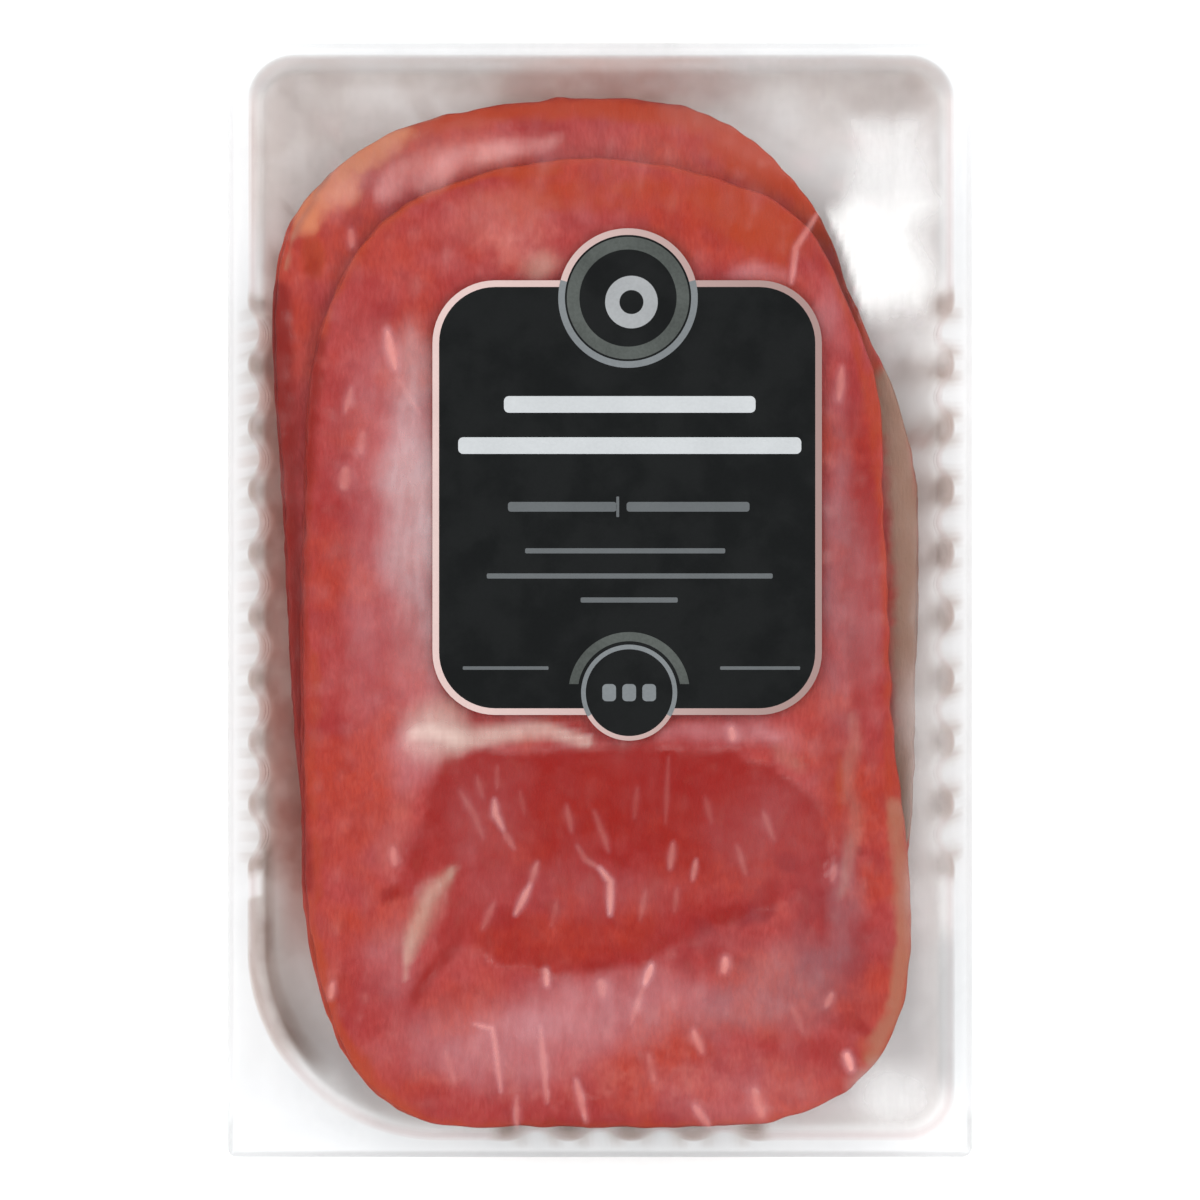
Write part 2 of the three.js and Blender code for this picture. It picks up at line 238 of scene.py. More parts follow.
def along_path(x, y, path, closed=False):
    """How far each point is from a path, and how far along it the nearest place is, from 0 to 1."""
    points = np.array(path, float)
    ends = np.roll(points, -1, axis=0) if closed else points[1:]
    starts = points if closed else points[:-1]
    lengths = np.hypot(*(ends - starts).T)
    run = np.concatenate([[0.0], np.cumsum(lengths)])
    nearest = np.full(x.shape, 1e9)
    place = np.zeros(x.shape)
    for (ax, ay), (bx, by), length, before in zip(starts, ends, lengths, run):
        share = ((x - ax) * (bx - ax) + (y - ay) * (by - ay)) / max(length * length, 1e-12)
        share = np.clip(share, 0.0, 1.0)
        distance = np.hypot(x - ax - share * (bx - ax), y - ay - share * (by - ay))
        closer = distance < nearest
        nearest = np.where(closer, distance, nearest)
        place = np.where(closer, (before + share * length) / run[-1], place)
    return nearest, place


def depth_in_outline(x, y, outline):
    """How far a point lies inside a closed outline, negative outside it."""
    distance, _ = along_path(x, y, outline, closed=True)
    inside = np.zeros(x.shape, bool)
    points = np.array(outline, float)
    for (ax, ay), (bx, by) in zip(points, np.roll(points, -1, axis=0)):
        crosses = (ay > y) != (by > y)
        rise = by - ay if by != ay else 1e-12
        inside ^= crosses & (x < ax + (y - ay) * (bx - ax) / rise)
    return np.where(inside, distance, -distance)


def blob(x, y, middle_x, middle_y, half_x, half_y, turn=0.0):
    """A soft oval: 1 in its middle and 0 past its edge. Sizes are millimetres, the turn degrees."""
    angle = math.radians(turn)
    over = x / MM - middle_x
    up = y / MM - middle_y
    long = (over * math.cos(angle) + up * math.sin(angle)) / half_x
    wide = (-over * math.sin(angle) + up * math.cos(angle)) / half_y
    return 1.0 - smooth(np.hypot(long, wide), 0.2, 1.0)


def stroke(x, y, points, half_width, taper=0.0):
    """A soft brush stroke through points in millimetres, thinner towards its ends by `taper`."""
    distance, place = along_path(x, y, np.array(points, float) * MM)
    width = half_width * MM * (1.0 - taper * np.abs(2.0 * place - 1.0) ** 2)
    return 1.0 - smooth(distance / width, 0.1, 1.0)


def rounded_depth(x, y, left, right, bottom, top, corner):
    """How far a point lies inside a round-cornered rectangle. `corner` may vary with the point."""
    over_x = np.abs(x - (left + right) / 2) - (right - left) / 2 + corner
    over_y = np.abs(y - (bottom + top) / 2) - (top - bottom) / 2 + corner
    outside = np.hypot(np.maximum(over_x, 0.0), np.maximum(over_y, 0.0))
    return corner - outside - np.minimum(np.maximum(over_x, over_y), 0.0)


def depth_in_mouth(x, y):
    """How far a point lies inside the well's mouth, its flutes left out."""
    at_peel = (x < (MOUTH_LEFT + MOUTH_RIGHT) / 2) & (y < (MOUTH_BOTTOM + MOUTH_TOP) / 2)
    corner = np.where(at_peel, PEEL_CORNER, WELL_CORNER)
    return rounded_depth(x, y, MOUTH_LEFT, MOUTH_RIGHT, MOUTH_BOTTOM, MOUTH_TOP, corner)


def under_label(x, y):
    """1 under the label, and 0 a little way off it."""
    panel = rounded_depth(x, y, PANEL_LEFT, PANEL_RIGHT, PANEL_BOTTOM, PANEL_TOP, PANEL_CORNER)
    depth = panel
    for middle_x, middle_y, radius in (TOP_BADGE, LOW_BADGE):
        depth = np.maximum(depth, radius - np.hypot(x - middle_x, y - middle_y))
    return smooth(depth, -2.5 * MM, -0.3 * MM)


# ---- Meat and film heights -------------------------------------------------------------------------

# The film lies tight on the meat below the label. The outline goes round clockwise from the top
# left, in millimetres, with a tail at the lower left.
CLING_OUTLINE = (
    (-27, -27), (-18, -26), (-3.5, -25.6), (8, -25.2), (16.5, -25.6), (25, -27), (33, -30.5),
    (39, -35.5), (40.8, -42), (39.5, -48.5), (33, -53.5), (22.5, -57), (13.5, -60.5), (7, -64),
    (-1.5, -65.8), (-9.5, -65.8), (-16.5, -64.5), (-22, -61.5), (-26, -61), (-32.8, -69.8),
    (-30.5, -63), (-27, -52.5), (-29.5, -49), (-33, -51.5), (-37.8, -52.6), (-37, -50),
    (-34.5, -46.5), (-32, -39.5), (-29.5, -31),
)

# Wrinkles of the film: a path in millimetres, half width, height, and how bright the painted glint
# along it shows.
WRINKLES = (
    (((-18.5, -35), (-18.3, -37.5), (-17, -40)), 0.75, 0.25, 0.42),
    (((-17, -40), (-15, -43.5)), 0.6, 0.20, 0.14),
    (((-18, -29), (-18, -33)), 0.5, 0.12, 0.08),
    (((-11, -46), (-12.2, -50)), 0.7, 0.22, 0.22),
    (((-12.2, -50), (-14.8, -55)), 0.75, 0.28, 0.45),
    (((-4, -43), (-2.5, -45.5), (0, -47)), 0.6, 0.20, 0.14),
    (((0, -47), (1.8, -49.3), (1.8, -55)), 0.75, 0.32, 0.50),
    (((12.8, -42.5), (12.3, -47)), 0.7, 0.20, 0.20),
    (((16.8, -45.5), (16.2, -49)), 0.6, 0.22, 0.28),
    (((-9.5, -64.8), (-9.3, -67.2)), 0.8, 0.22, 0.42),
    (((9, -64), (7.9, -67)), 0.8, 0.30, 0.55),
    (((7.9, -67), (5.4, -74)), 0.7, 0.20, 0.16),
    (((21.9, -62.9), (21.7, -64.8)), 1.0, 0.20, 0.42),
    (((-22, -74.2), (-18.8, -75), (-18, -80), (-17.3, -86)), 0.6, 0.22, 0.30),
    (((-10.4, -74.5), (-10, -79.5), (-9.3, -88)), 0.7, 0.20, 0.22),
    (((16.4, -75.5), (17.8, -79)), 0.9, 0.22, 0.30),
    (((0.2, -67), (0.4, -68.8)), 1.2, 0.15, 0.24),
    (((-4.2, -84), (-2.4, -91)), 0.8, 0.25, 0.36),
    (((-14.6, -87), (-14.5, -92)), 0.7, 0.20, 0.24),
    (((16.5, -88.5), (19, -92)), 0.8, 0.25, 0.26),
    (((27, -86), (28.3, -90)), 1.4, 0.20, 0.26),
    (((43.2, -79.5), (43.9, -82)), 0.9, 0.22, 0.60),
    (((12, -27.5), (11.5, -39)), 0.5, 0.10, 0.07),
    (((23, -22.6), (23.2, -24.2)), 1.0, 0.10, 0.35),
    (((-37.2, 47), (-35.8, 40.5)), 1.2, 0.22, 0.40),
    (((-35.5, 39), (-31.5, 32.5)), 0.6, 0.15, 0.12),
    (((42.3, 40.5), (41.7, 35)), 1.0, 0.22, 0.28),
    (((38, 67.5), (34.2, 61.5), (33.5, 55.5)), 0.6, 0.30, 0.30),
    (((40.5, -69), (39.6, -71)), 0.8, 0.15, 0.22),
    (((41.2, -46.5), (40.6, -49)), 0.7, 0.15, 0.18),
    (((-43.5, 37), (-44.5, 33)), 0.8, 0.15, 0.20),
    (((-44.5, 22.6), (-44.7, 20)), 1.5, 0.20, 0.30),
    (((-41.5, 29), (-41.8, 26)), 1.0, 0.15, 0.14),
    (((-43.6, 64.5), (-43.4, 62)), 0.9, 0.15, 0.18),
    (((-46.8, -67.3), (-47.1, -69.4)), 0.8, 0.12, 0.35),
    (((-36.2, -43.6), (-35.9, -46)), 0.9, 0.12, 0.22),
    (((-24.5, -33.5), (-22, -37.5), (-20.5, -41.5)), 0.8, 0.12, 0.10),
    (((-21.5, -31), (-20.5, -34.5)), 0.7, 0.10, 0.09),
    (((-14, -33.5), (-13.2, -37.5)), 0.7, 0.10, 0.08),
    (((-5.8, -36), (-5, -40.5)), 0.7, 0.12, 0.12),
    (((-1, -37), (0.5, -41), (1.5, -44)), 0.7, 0.12, 0.12),
    (((6.5, -33), (6, -38)), 0.7, 0.10, 0.07),
    (((18.5, -34.5), (19.5, -39)), 0.7, 0.10, 0.08),
    (((28.5, -37), (30.5, -42)), 0.8, 0.12, 0.12),
    (((24, -43), (25.5, -48)), 0.7, 0.12, 0.10),
    (((8, -51), (7, -56)), 0.7, 0.10, 0.10),
    (((-7.5, -52.5), (-8.5, -57)), 0.7, 0.10, 0.09),
    (((-18.5, -53), (-20.5, -57.5)), 0.8, 0.12, 0.12),
    (((13.5, -50.5), (13, -54.5)), 0.7, 0.10, 0.09),
    (((33.5, -71), (35.5, -75.5)), 0.9, 0.12, 0.12),
    (((8.5, -79.5), (9.5, -84)), 0.9, 0.15, 0.14),
    (((-27, -79), (-25.5, -84)), 0.9, 0.12, 0.12),
)
# What a height of 1 in that table stands for, and how far from a wrinkle the film is divided finely.
WRINKLE_UNIT = 0.6 * MM
REFINED_REACH = 1.4 * MM
# The film's cells across and along it.
FILM_CELLS = (130, 194)


def meat_relief(x, y):
    """The slices' unevenness, from about -1 to 1."""
    wide = waves(x, y, 27 * MM, 3)
    middling = waves(x, y, 9 * MM, 4)
    fine = waves(x, y, 3.6 * MM, 5)
    return 0.55 * wide + 0.3 * middling + 0.12 * fine


def cling(x, y):
    """1 where the film lies tight on the meat and 0 where it stands off."""
    outline = np.array(CLING_OUTLINE, float) * MM
    near = (np.abs(x) < 45 * MM) & (y > -75 * MM) & (y < -20 * MM)
    tight = np.zeros(x.shape)
    px, py = x[near], y[near]
    ragged = 0.5 * MM * waves(px, py, 7 * MM, 8) + 0.2 * MM * waves(px, py, 2.5 * MM, 9)
    tight[near] = smooth(depth_in_outline(px, py, outline) + ragged, -1.2 * MM, 1.6 * MM)
    return tight


def wrinkle_height(x, y):
    """How far the wrinkles stand up, in metres."""
    height = np.zeros(x.shape)
    for points, half_width, rise, _ in WRINKLES:
        ridge = stroke(x, y, points, 1.3 * half_width, taper=0.5)
        height = np.maximum(height, ridge * rise * WRINKLE_UNIT)
    return height


def film_underside(x, y, billow, relief):
    """The height of the film's underside."""
    depth = depth_in_mouth(x, y)
    sag = smooth(depth, FILM_START, FILM_REACH)
    arc = SHOULDER_Y - (x - SHOULDER_X) ** 2 / SHOULDER_CURVE
    past_arc = smooth(y - arc, 0.0, SHOULDER_REACH)
    height = FLANGE_TOP + FILM_GAP - sag * (FILM_DROP + SHOULDER_DROP * past_arc)
    loose = sag * (1.0 - under_label(x, y))
    height += loose * billow * (0.6 * waves(x, y, 23 * MM, 11) + 0.3 * waves(x, y, 7 * MM, 12))
    pleats = band(depth, 1.5, 3.5, 6, 11)
    height += pleats * billow * waves(x, y, 5 * MM, 13)
    tight = cling(x, y)
    on_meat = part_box(UPPER_TOP)[1].z + relief * meat_relief(x, y) + CLING_GAP
    height = height * (1.0 - tight) + on_meat * tight
    return height + (1.0 - under_label(x, y)) * wrinkle_height(x, y)


# ---- Modelling -----------------------------------------------------------------------------------


def to_object_mode():
    if bpy.context.object and bpy.context.object.mode != "OBJECT":
        bpy.ops.object.mode_set(mode="OBJECT")


def nothing_selected():
    to_object_mode()
    bpy.ops.object.select_all(action="DESELECT")


def name_piece(name):
    piece = bpy.context.active_object
    piece.name = name
    piece.data.name = name
    return piece


def start_ring(name, points):
    """A circle whose vertices are moved to the points, left open in edit mode and selected."""
    nothing_selected()
    bpy.ops.mesh.primitive_circle_add(vertices=len(points), radius=MM)
    piece = name_piece(name)
    bpy.ops.object.mode_set(mode="EDIT")
    bpy.ops.mesh.select_mode(type="VERT")
    shape = bmesh.from_edit_mesh(piece.data)
    place = shape.verts.layers.int.new("place")
    ring = shape.verts.layers.int.new("ring")
    for index, (vertex, point) in enumerate(zip(shape.verts, points)):
        vertex[place] = index
        vertex[ring] = 0
        vertex.co = point
    bmesh.update_edit_mesh(piece.data)
    return piece


def extrude_ring(piece, points, number):
    """The selected ring is extruded, and the new one is moved to the points."""
    bpy.ops.mesh.extrude_region_move()
    shape = bmesh.from_edit_mesh(piece.data)
    place = shape.verts.layers.int["place"]
    ring = shape.verts.layers.int["ring"]
    for vertex in shape.verts:
        if vertex.select:
            vertex[ring] = number
            vertex.co = points[vertex[place]]
    bmesh.update_edit_mesh(piece.data)


def select_ring(piece, number):
    bpy.ops.mesh.select_all(action="DESELECT")
    shape = bmesh.from_edit_mesh(piece.data)
    ring = shape.verts.layers.int["ring"]
    for vertex in shape.verts:
        vertex.select = vertex[ring] == number
    shape.select_flush(True)
    bmesh.update_edit_mesh(piece.data)


def close_ring():
    """The selected ring is extruded and drawn together in its middle."""
    bpy.ops.mesh.extrude_region_move()
    bpy.ops.mesh.merge(type="CENTER")


def grow_rings(name, rings, close_start):
    """A skin through rings of points, closed in the middle of the last, and of the first if asked."""
    piece = start_ring(name, rings[0])
    for number, points in enumerate(rings[1:], start=1):
        extrude_ring(piece, points, number)
    close_ring()
    if close_start:
        select_ring(piece, 0)
        close_ring()
    bpy.ops.mesh.select_all(action="SELECT")
    bpy.ops.mesh.remove_doubles(threshold=1e-6)
    bpy.ops.mesh.normals_make_consistent(inside=False)
    bpy.ops.object.mode_set(mode="OBJECT")
    bpy.ops.object.shade_smooth()
    return piece


def coordinates(piece):
    values = np.empty(len(piece.data.vertices) * 3)
    piece.data.vertices.foreach_get("co", values)
    return values.reshape(-1, 3)


def set_coordinates(piece, values):
    piece.data.vertices.foreach_set("co", values.astype(np.float32).ravel())
    piece.data.update()


def paint(piece, name, values):
    """Keeps a number for each vertex, which the piece's material reads by name."""
    attribute = piece.data.attributes.new(name, "FLOAT", "POINT")
    attribute.data.foreach_set("value", np.clip(values, 0.0, 1.0).astype(np.float32))


def apply_modifier(piece, kind, **settings):
    modifier = piece.modifiers.new(kind.title(), kind)
    for name, value in settings.items():
        setattr(modifier, name, value)
    bpy.context.view_layer.objects.active = piece
    bpy.ops.object.modifier_apply(modifier=modifier.name)


def finish_piece(piece, material, slot, *nodes):
    """The piece gets its finish, rides on the pack and stands for the CAD nodes."""
    to_object_mode()
    if material:
        piece.data.materials.clear()
        piece.data.materials.append(material)
    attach(piece, BODY)
    if nodes:
        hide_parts(*nodes)


# ---- Node trees ----------------------------------------------------------------------------------


class Tree:
    """Short ways to add nodes to a node tree and join them."""

    def __init__(self, tree):
        self.tree = tree

    def add(self, kind, inputs=None, **settings):
        node = self.tree.nodes.new(kind)
        for name, value in settings.items():
            setattr(node, name, value)
        for socket, value in (inputs or {}).items():
            if isinstance(value, bpy.types.NodeSocket):
                self.tree.links.new(value, node.inputs[socket])
            else:
                node.inputs[socket].default_value = value
        return node

    def math(self, operation, first, second=0.0, clamp=False):
        node = self.add("ShaderNodeMath", {0: first, 1: second}, operation=operation, use_clamp=clamp)
        return node.outputs[0]

    def remap(self, value, low, high, to_low=0.0, to_high=1.0):
        node = self.add("ShaderNodeMapRange", {"Value": value}, interpolation_type="SMOOTHSTEP")
        ends = {"From Min": low, "From Max": high, "To Min": to_low, "To Max": to_high}
        for socket, end in ends.items():
            node.inputs[socket].default_value = end
        return node.outputs[0]

    def mix(self, factor, first, second):
        """The first colour turning into the second as the factor goes from 0 to 1."""
        node = self.add("ShaderNodeMix", {0: factor}, data_type="RGBA")
        for socket, value in ((6, first), (7, second)):
            if isinstance(value, bpy.types.NodeSocket):
                self.tree.links.new(value, node.inputs[socket])
            else:
                node.inputs[socket].default_value = (*value, 1.0)
        return node.outputs[2]

    def painted(self, name):
        return self.add("ShaderNodeAttribute", attribute_name=name).outputs["Fac"]

    def place(self, stretch=(1.0, 1.0, 1.0), turn=0.0):
        """Where on the pack a point is, stretched and turned about Z for the pattern laid on it."""
        where = self.add("ShaderNodeTexCoord").outputs["Object"]
        inputs = {"Vector": where, "Scale": stretch, "Rotation": (0.0, 0.0, turn)}
        return self.add("ShaderNodeMapping", inputs).outputs[0]

    def uneven(self, place, size, detail=2.0):
        """A patchy mask from 0 to 1 with patches about `size` across."""
        inputs = {"Place": place, "Size": size, "Detail": detail}
        node = self.add("ShaderNodeGroup", node_tree=uneven_group())
        for socket, value in inputs.items():
            if isinstance(value, bpy.types.NodeSocket):
                self.tree.links.new(value, node.inputs[socket])
            else:
                node.inputs[socket].default_value = value
        return node.outputs["Mask"]

    def bump(self, height, strength, distance):
        inputs = {"Height": height, "Strength": strength, "Distance": distance}
        return self.add("ShaderNodeBump", inputs).outputs[0]


def uneven_group():
    """The node group that every finish here takes its unevenness from."""
    name = "Uneven Patches"
    if name in bpy.data.node_groups:
        return bpy.data.node_groups[name]
    group = bpy.data.node_groups.new(name, "ShaderNodeTree")
    face = group.interface
    face.new_socket("Place", in_out="INPUT", socket_type="NodeSocketVector")
    face.new_socket("Size", in_out="INPUT", socket_type="NodeSocketFloat")
    face.new_socket("Detail", in_out="INPUT", socket_type="NodeSocketFloat")
    face.new_socket("Mask", in_out="OUTPUT", socket_type="NodeSocketFloat")
    tree = Tree(group)
    given = tree.add("NodeGroupInput")
    rate = tree.math("DIVIDE", 1.0, given.outputs["Size"])
    inputs = {"Vector": given.outputs["Place"], "Scale": rate, "Detail": given.outputs["Detail"]}
    noise = tree.add("ShaderNodeTexNoise", inputs, normalize=True)
    mask = tree.remap(noise.outputs[0], 0.3, 0.7)
    tree.add("NodeGroupOutput", {"Mask": mask})
    return group


def new_material(name):
    material = bpy.data.materials.new(name)
    material.use_nodes = True
    material.node_tree.nodes.clear()
    return material, Tree(material.node_tree)


def show(tree, shader):
    tree.add("ShaderNodeOutputMaterial", {"Surface": shader})


# ---- Finishes ------------------------------------------------------------------------------------


def loin_material(look):
    """Cured meat: mottled lean with a fine grain, its painted rim, greyer and moist places, painted shade
    on its left side and a few painted highlights.
    """
    material, tree = new_material("cured_loin")
    place = tree.place(stretch=(1.0, 1.0, 9.0))
    patches = tree.uneven(place, 12 * MM, 3.0)
    blotches = tree.uneven(tree.place(stretch=(1.15, 0.85, 9.0), turn=0.3), 4.4 * MM, 3.0)
    flecks = tree.uneven(place, 2.2 * MM, 3.0)
    fibres = tree.uneven(tree.place(stretch=(2.6, 0.8, 9.0), turn=0.35), 1.3 * MM, 4.0)
    warm = tree.uneven(tree.place(stretch=(0.9, 1.2, 5.0), turn=1.0), 16 * MM, 2.0)
    ragged = tree.math("SUBTRACT", tree.uneven(place, 3.4 * MM, 4.0), 0.5)

    def patchy(name, spread):
        """A painted mask with its edge broken up."""
        strayed = tree.math("MULTIPLY", ragged, spread)
        return tree.remap(tree.math("ADD", tree.painted(name), strayed), 0.08, 0.92)

    shade = tree.mix(tree.remap(patches, 0.0, 1.0, 0.0, 0.65), look.lean, look.lean_pale)
    shade = tree.mix(tree.remap(warm, 0.3, 1.0, 0.0, 0.55), shade, look.warm)
    shade = tree.mix(tree.remap(blotches, 0.35, 1.0, 0.0, 0.26), shade, look.plum)
    shade = tree.mix(tree.remap(flecks, 0.4, 1.0, 0.0, 0.16), shade, look.lean_pale)
    shade = tree.mix(tree.remap(fibres, 0.0, 1.0, 0.30, 0.0), shade, look.deep)
    for name, tone, most in (
        ("plum", look.plum, 0.9),
        ("deep", look.deep, 0.88),
        ("smoke", look.smoked, 0.9),
        ("tan", look.tan, 0.95),
        ("rind", look.rind, 0.92),
        # The maroon mask is painted shade.
        ("maroon_shade", look.maroon_shade, 0.95),
        ("grey", look.grey, 0.95),
        # The pale mask is paler lean, and in a few ovals painted glare and a painted highlight.
        ("pale", look.fat_and_highlight, 0.7),
    ):
        shade = tree.mix(tree.math("MULTIPLY", patchy(name, 0.26), most), shade, tone)
    height = tree.math("ADD", tree.math("MULTIPLY", fibres, 0.6), tree.math("MULTIPLY", flecks, 0.8))
    finish = {
        "Base Color": shade,
        "Roughness": tree.remap(flecks, 0.0, 1.0, 0.36, 0.56),
        "Normal": tree.bump(height, 0.5, 0.12 * MM),
        "Specular IOR Level": 0.1,
        "Subsurface Weight": 0.08,
        "Subsurface Radius": (1.0, 0.3, 0.2),
        "Subsurface Scale": 1.2 * MM,
    }
    show(tree, tree.add("ShaderNodeBsdfPrincipled", finish).outputs[0])
    return material


def front_faces(tree):
    """1 on a face's front and 0 on its back."""
    back = tree.add("ShaderNodeNewGeometry").outputs["Backfacing"]
    return tree.math("SUBTRACT", 1.0, back)


def clear_finish(tree, seen_through, milkiness, milk_and_glare, bump, roughness, gloss_share):
    """A clear skin: light passes it, its hazy and painted glare parts are milky and its front is glossy by
    `gloss_share`.
    """
    front = front_faces(tree)
    clear = tree.add("ShaderNodeBsdfTransparent", {"Color": seen_through})
    haze_and_glare = {"Base Color": milk_and_glare, "Roughness": 0.5, "Specular IOR Level": 0.2, "Normal": bump}
    haze_and_glare = tree.add("ShaderNodeBsdfPrincipled", haze_and_glare)
    amount = tree.math("MULTIPLY", milkiness, front, clamp=True)
    body = tree.add("ShaderNodeMixShader", {0: amount, 1: clear.outputs[0], 2: haze_and_glare.outputs[0]})
    gloss = {"Color": (1.0, 1.0, 1.0, 1.0), "Roughness": roughness, "Normal": bump}
    gloss = tree.add("ShaderNodeBsdfGlossy", gloss)
    fresnel = tree.add("ShaderNodeFresnel", {"IOR": 1.45, "Normal": bump}).outputs[0]
    shine = tree.math("MULTIPLY", fresnel, tree.math("MULTIPLY", front, gloss_share))
    skin = {0: shine, 1: body.outputs[0], 2: gloss.outputs[0]}
    show(tree, tree.add("ShaderNodeMixShader", skin).outputs[0])


def film_material():
    """Clear lid film, milky where it stands off the meat, with painted glare and glints and fine creases.
    """
    material, tree = new_material("clear_lid_film")
    place = tree.place(stretch=(1.0, 1.0, 0.2))
    clouds = tree.uneven(place, 7 * MM, 4.0)
    drawn = tree.uneven(tree.place(stretch=(1.5, 0.4, 0.2), turn=0.12), 1.8 * MM, 3.0)
    painted = tree.painted("haze_and_glare")
    cloudy = tree.remap(clouds, 0.0, 1.0, -0.14, 0.14)
    streaky = tree.remap(drawn, 0.0, 1.0, -0.1, 0.1)
    half_hazy = tree.math("MULTIPLY", painted, tree.math("SUBTRACT", 1.0, painted))
    stray = tree.math("MULTIPLY", tree.math("ADD", cloudy, streaky), half_hazy)
    haze_and_glare = tree.math("ADD", painted, stray)
    creases = tree.math("ADD", tree.math("MULTIPLY", drawn, 0.5), clouds)
    bump = tree.bump(creases, 0.3, 0.12 * MM)
    roughness = tree.remap(clouds, 0.0, 1.0, 0.26, 0.38)
    # This colour carries the painted glare and glints as well as the haze.
    milk_and_glare = tree.add("ShaderNodeAttribute", attribute_name="milk_and_glare").outputs["Color"]
    clear_finish(tree, (0.992, 0.991, 0.991, 1.0), haze_and_glare, milk_and_glare, bump, roughness, 0.5)
    return material


def tray_material(look):
    """Clear formed sheet, with painted shade through its walls and from its masks, and the faint grain of
    the mould.
    """
    material, tree = new_material("clear_tray_sheet")
    place = tree.place()
    clouds = tree.uneven(place, 9 * MM, 3.0)
    grain = tree.uneven(place, 0.8 * MM, 3.0)
    where = tree.add("ShaderNodeTexCoord").outputs["Object"]
    height = tree.add("ShaderNodeSeparateXYZ", {0: where}).outputs["Z"]
    up = tree.remap(height, 0.8 * MM, 3.2 * MM)
    below_lip = tree.remap(height, FLANGE_TOP - 1.2 * MM, FLANGE_TOP - 0.6 * MM, 1.0, 0.0)
    at_flange = tree.remap(height, FLANGE_TOP - 0.9 * MM, FLANGE_TOP - 0.5 * MM)
    # Painted shade through the walls.
    tint = tree.mix(tree.math("MULTIPLY", up, below_lip), look.tint, look.wall_shade_tint)
    tint = tree.mix(at_flange, tint, look.flange)
    # Painted shade: the grey of the cut edge and lip, then the grey and pink shade of the masks.
    tint = tree.mix(tree.painted("edge"), tint, look.edge)
    stray = tree.remap(clouds, 0.0, 1.0, 0.75, 1.15)
    tint = tree.mix(tree.math("MULTIPLY", tree.painted("shade"), stray, clamp=True), tint, look.shade)
    tint = tree.mix(tree.math("MULTIPLY", tree.painted("pink_shade"), stray, clamp=True), tint, look.pink_shade)
    milkiness = tree.remap(clouds, 0.0, 1.0, 0.02, 0.045)
    bump = tree.bump(grain, 0.25, 0.05 * MM)
    roughness = tree.remap(clouds, 0.0, 1.0, 0.14, 0.24)
    clear_finish(tree, tint, milkiness, (0.80, 0.77, 0.76, 1.0), bump, roughness, 0.2)
    return material


def printed_material(name, tone, worn, right_tone=None):
    """Matt ink or paper with a fine grain, in one tone or in two, the second one at the right."""
    material, tree = new_material(name)
    place = tree.place(stretch=(1.0, 1.0, 0.2))
    clouds = tree.uneven(place, 8 * MM, 4.0)
    grain = tree.uneven(place, 0.5 * MM, 3.0)
    coarse = tree.math("MULTIPLY", clouds, 0.6 * worn)
    amount = tree.math("ADD", coarse, tree.math("MULTIPLY", grain, 0.4 * worn))
    lighter = tuple(min(1.0, 1.6 * value) for value in tone)
    shade = tree.mix(amount, tuple(tone), lighter)
    if right_tone:
        where = tree.add("ShaderNodeTexCoord").outputs["Object"]
        across = tree.add("ShaderNodeSeparateXYZ", {0: where}).outputs["X"]
        shade = tree.mix(tree.remap(across, PANEL_LEFT, PANEL_RIGHT), shade, tuple(right_tone))
    finish = {
        "Base Color": shade,
        "Roughness": tree.remap(clouds, 0.0, 1.0, 0.42, 0.56),
        "Normal": tree.bump(grain, 0.2, 0.03 * MM),
        "Specular IOR Level": 0.12,
    }
    show(tree, tree.add("ShaderNodeBsdfPrincipled", finish).outputs[0])
    return material


def floor_material(tone):
    """Matt white studio board."""
    material, tree = new_material("studio_floor")
    grain = tree.uneven(tree.place(), 2 * MM, 3.0)
    darker = tuple(0.985 * value for value in tone)
    finish = {
        "Base Color": tree.mix(grain, tuple(tone), darker),
        "Roughness": tree.remap(grain, 0.0, 1.0, 0.75, 0.85),
        "Normal": tree.bump(grain, 0.1, 0.05 * MM),
    }
    show(tree, tree.add("ShaderNodeBsdfPrincipled", finish).outputs[0])
    return material


# ---- Tray ----------------------------------------------------------------------------------------


def spread(start, end, longest):
    """Values from start to end, evenly spread and no further apart than `longest`."""
    steps = max(1, math.ceil(abs(end - start) / longest - 1e-9))
    return [start + (end - start) * i / steps for i in range(steps + 1)]


def stand_in(place, first, count, depth):
    """How far a wall stands in between two of its flutes."""
    turns = (place - first) / FLUTE_PITCH
    if not 0.0 < turns < count - 1:
        return 0.0
    return depth / 2 * (1.0 - math.cos(2.0 * math.pi * turns))


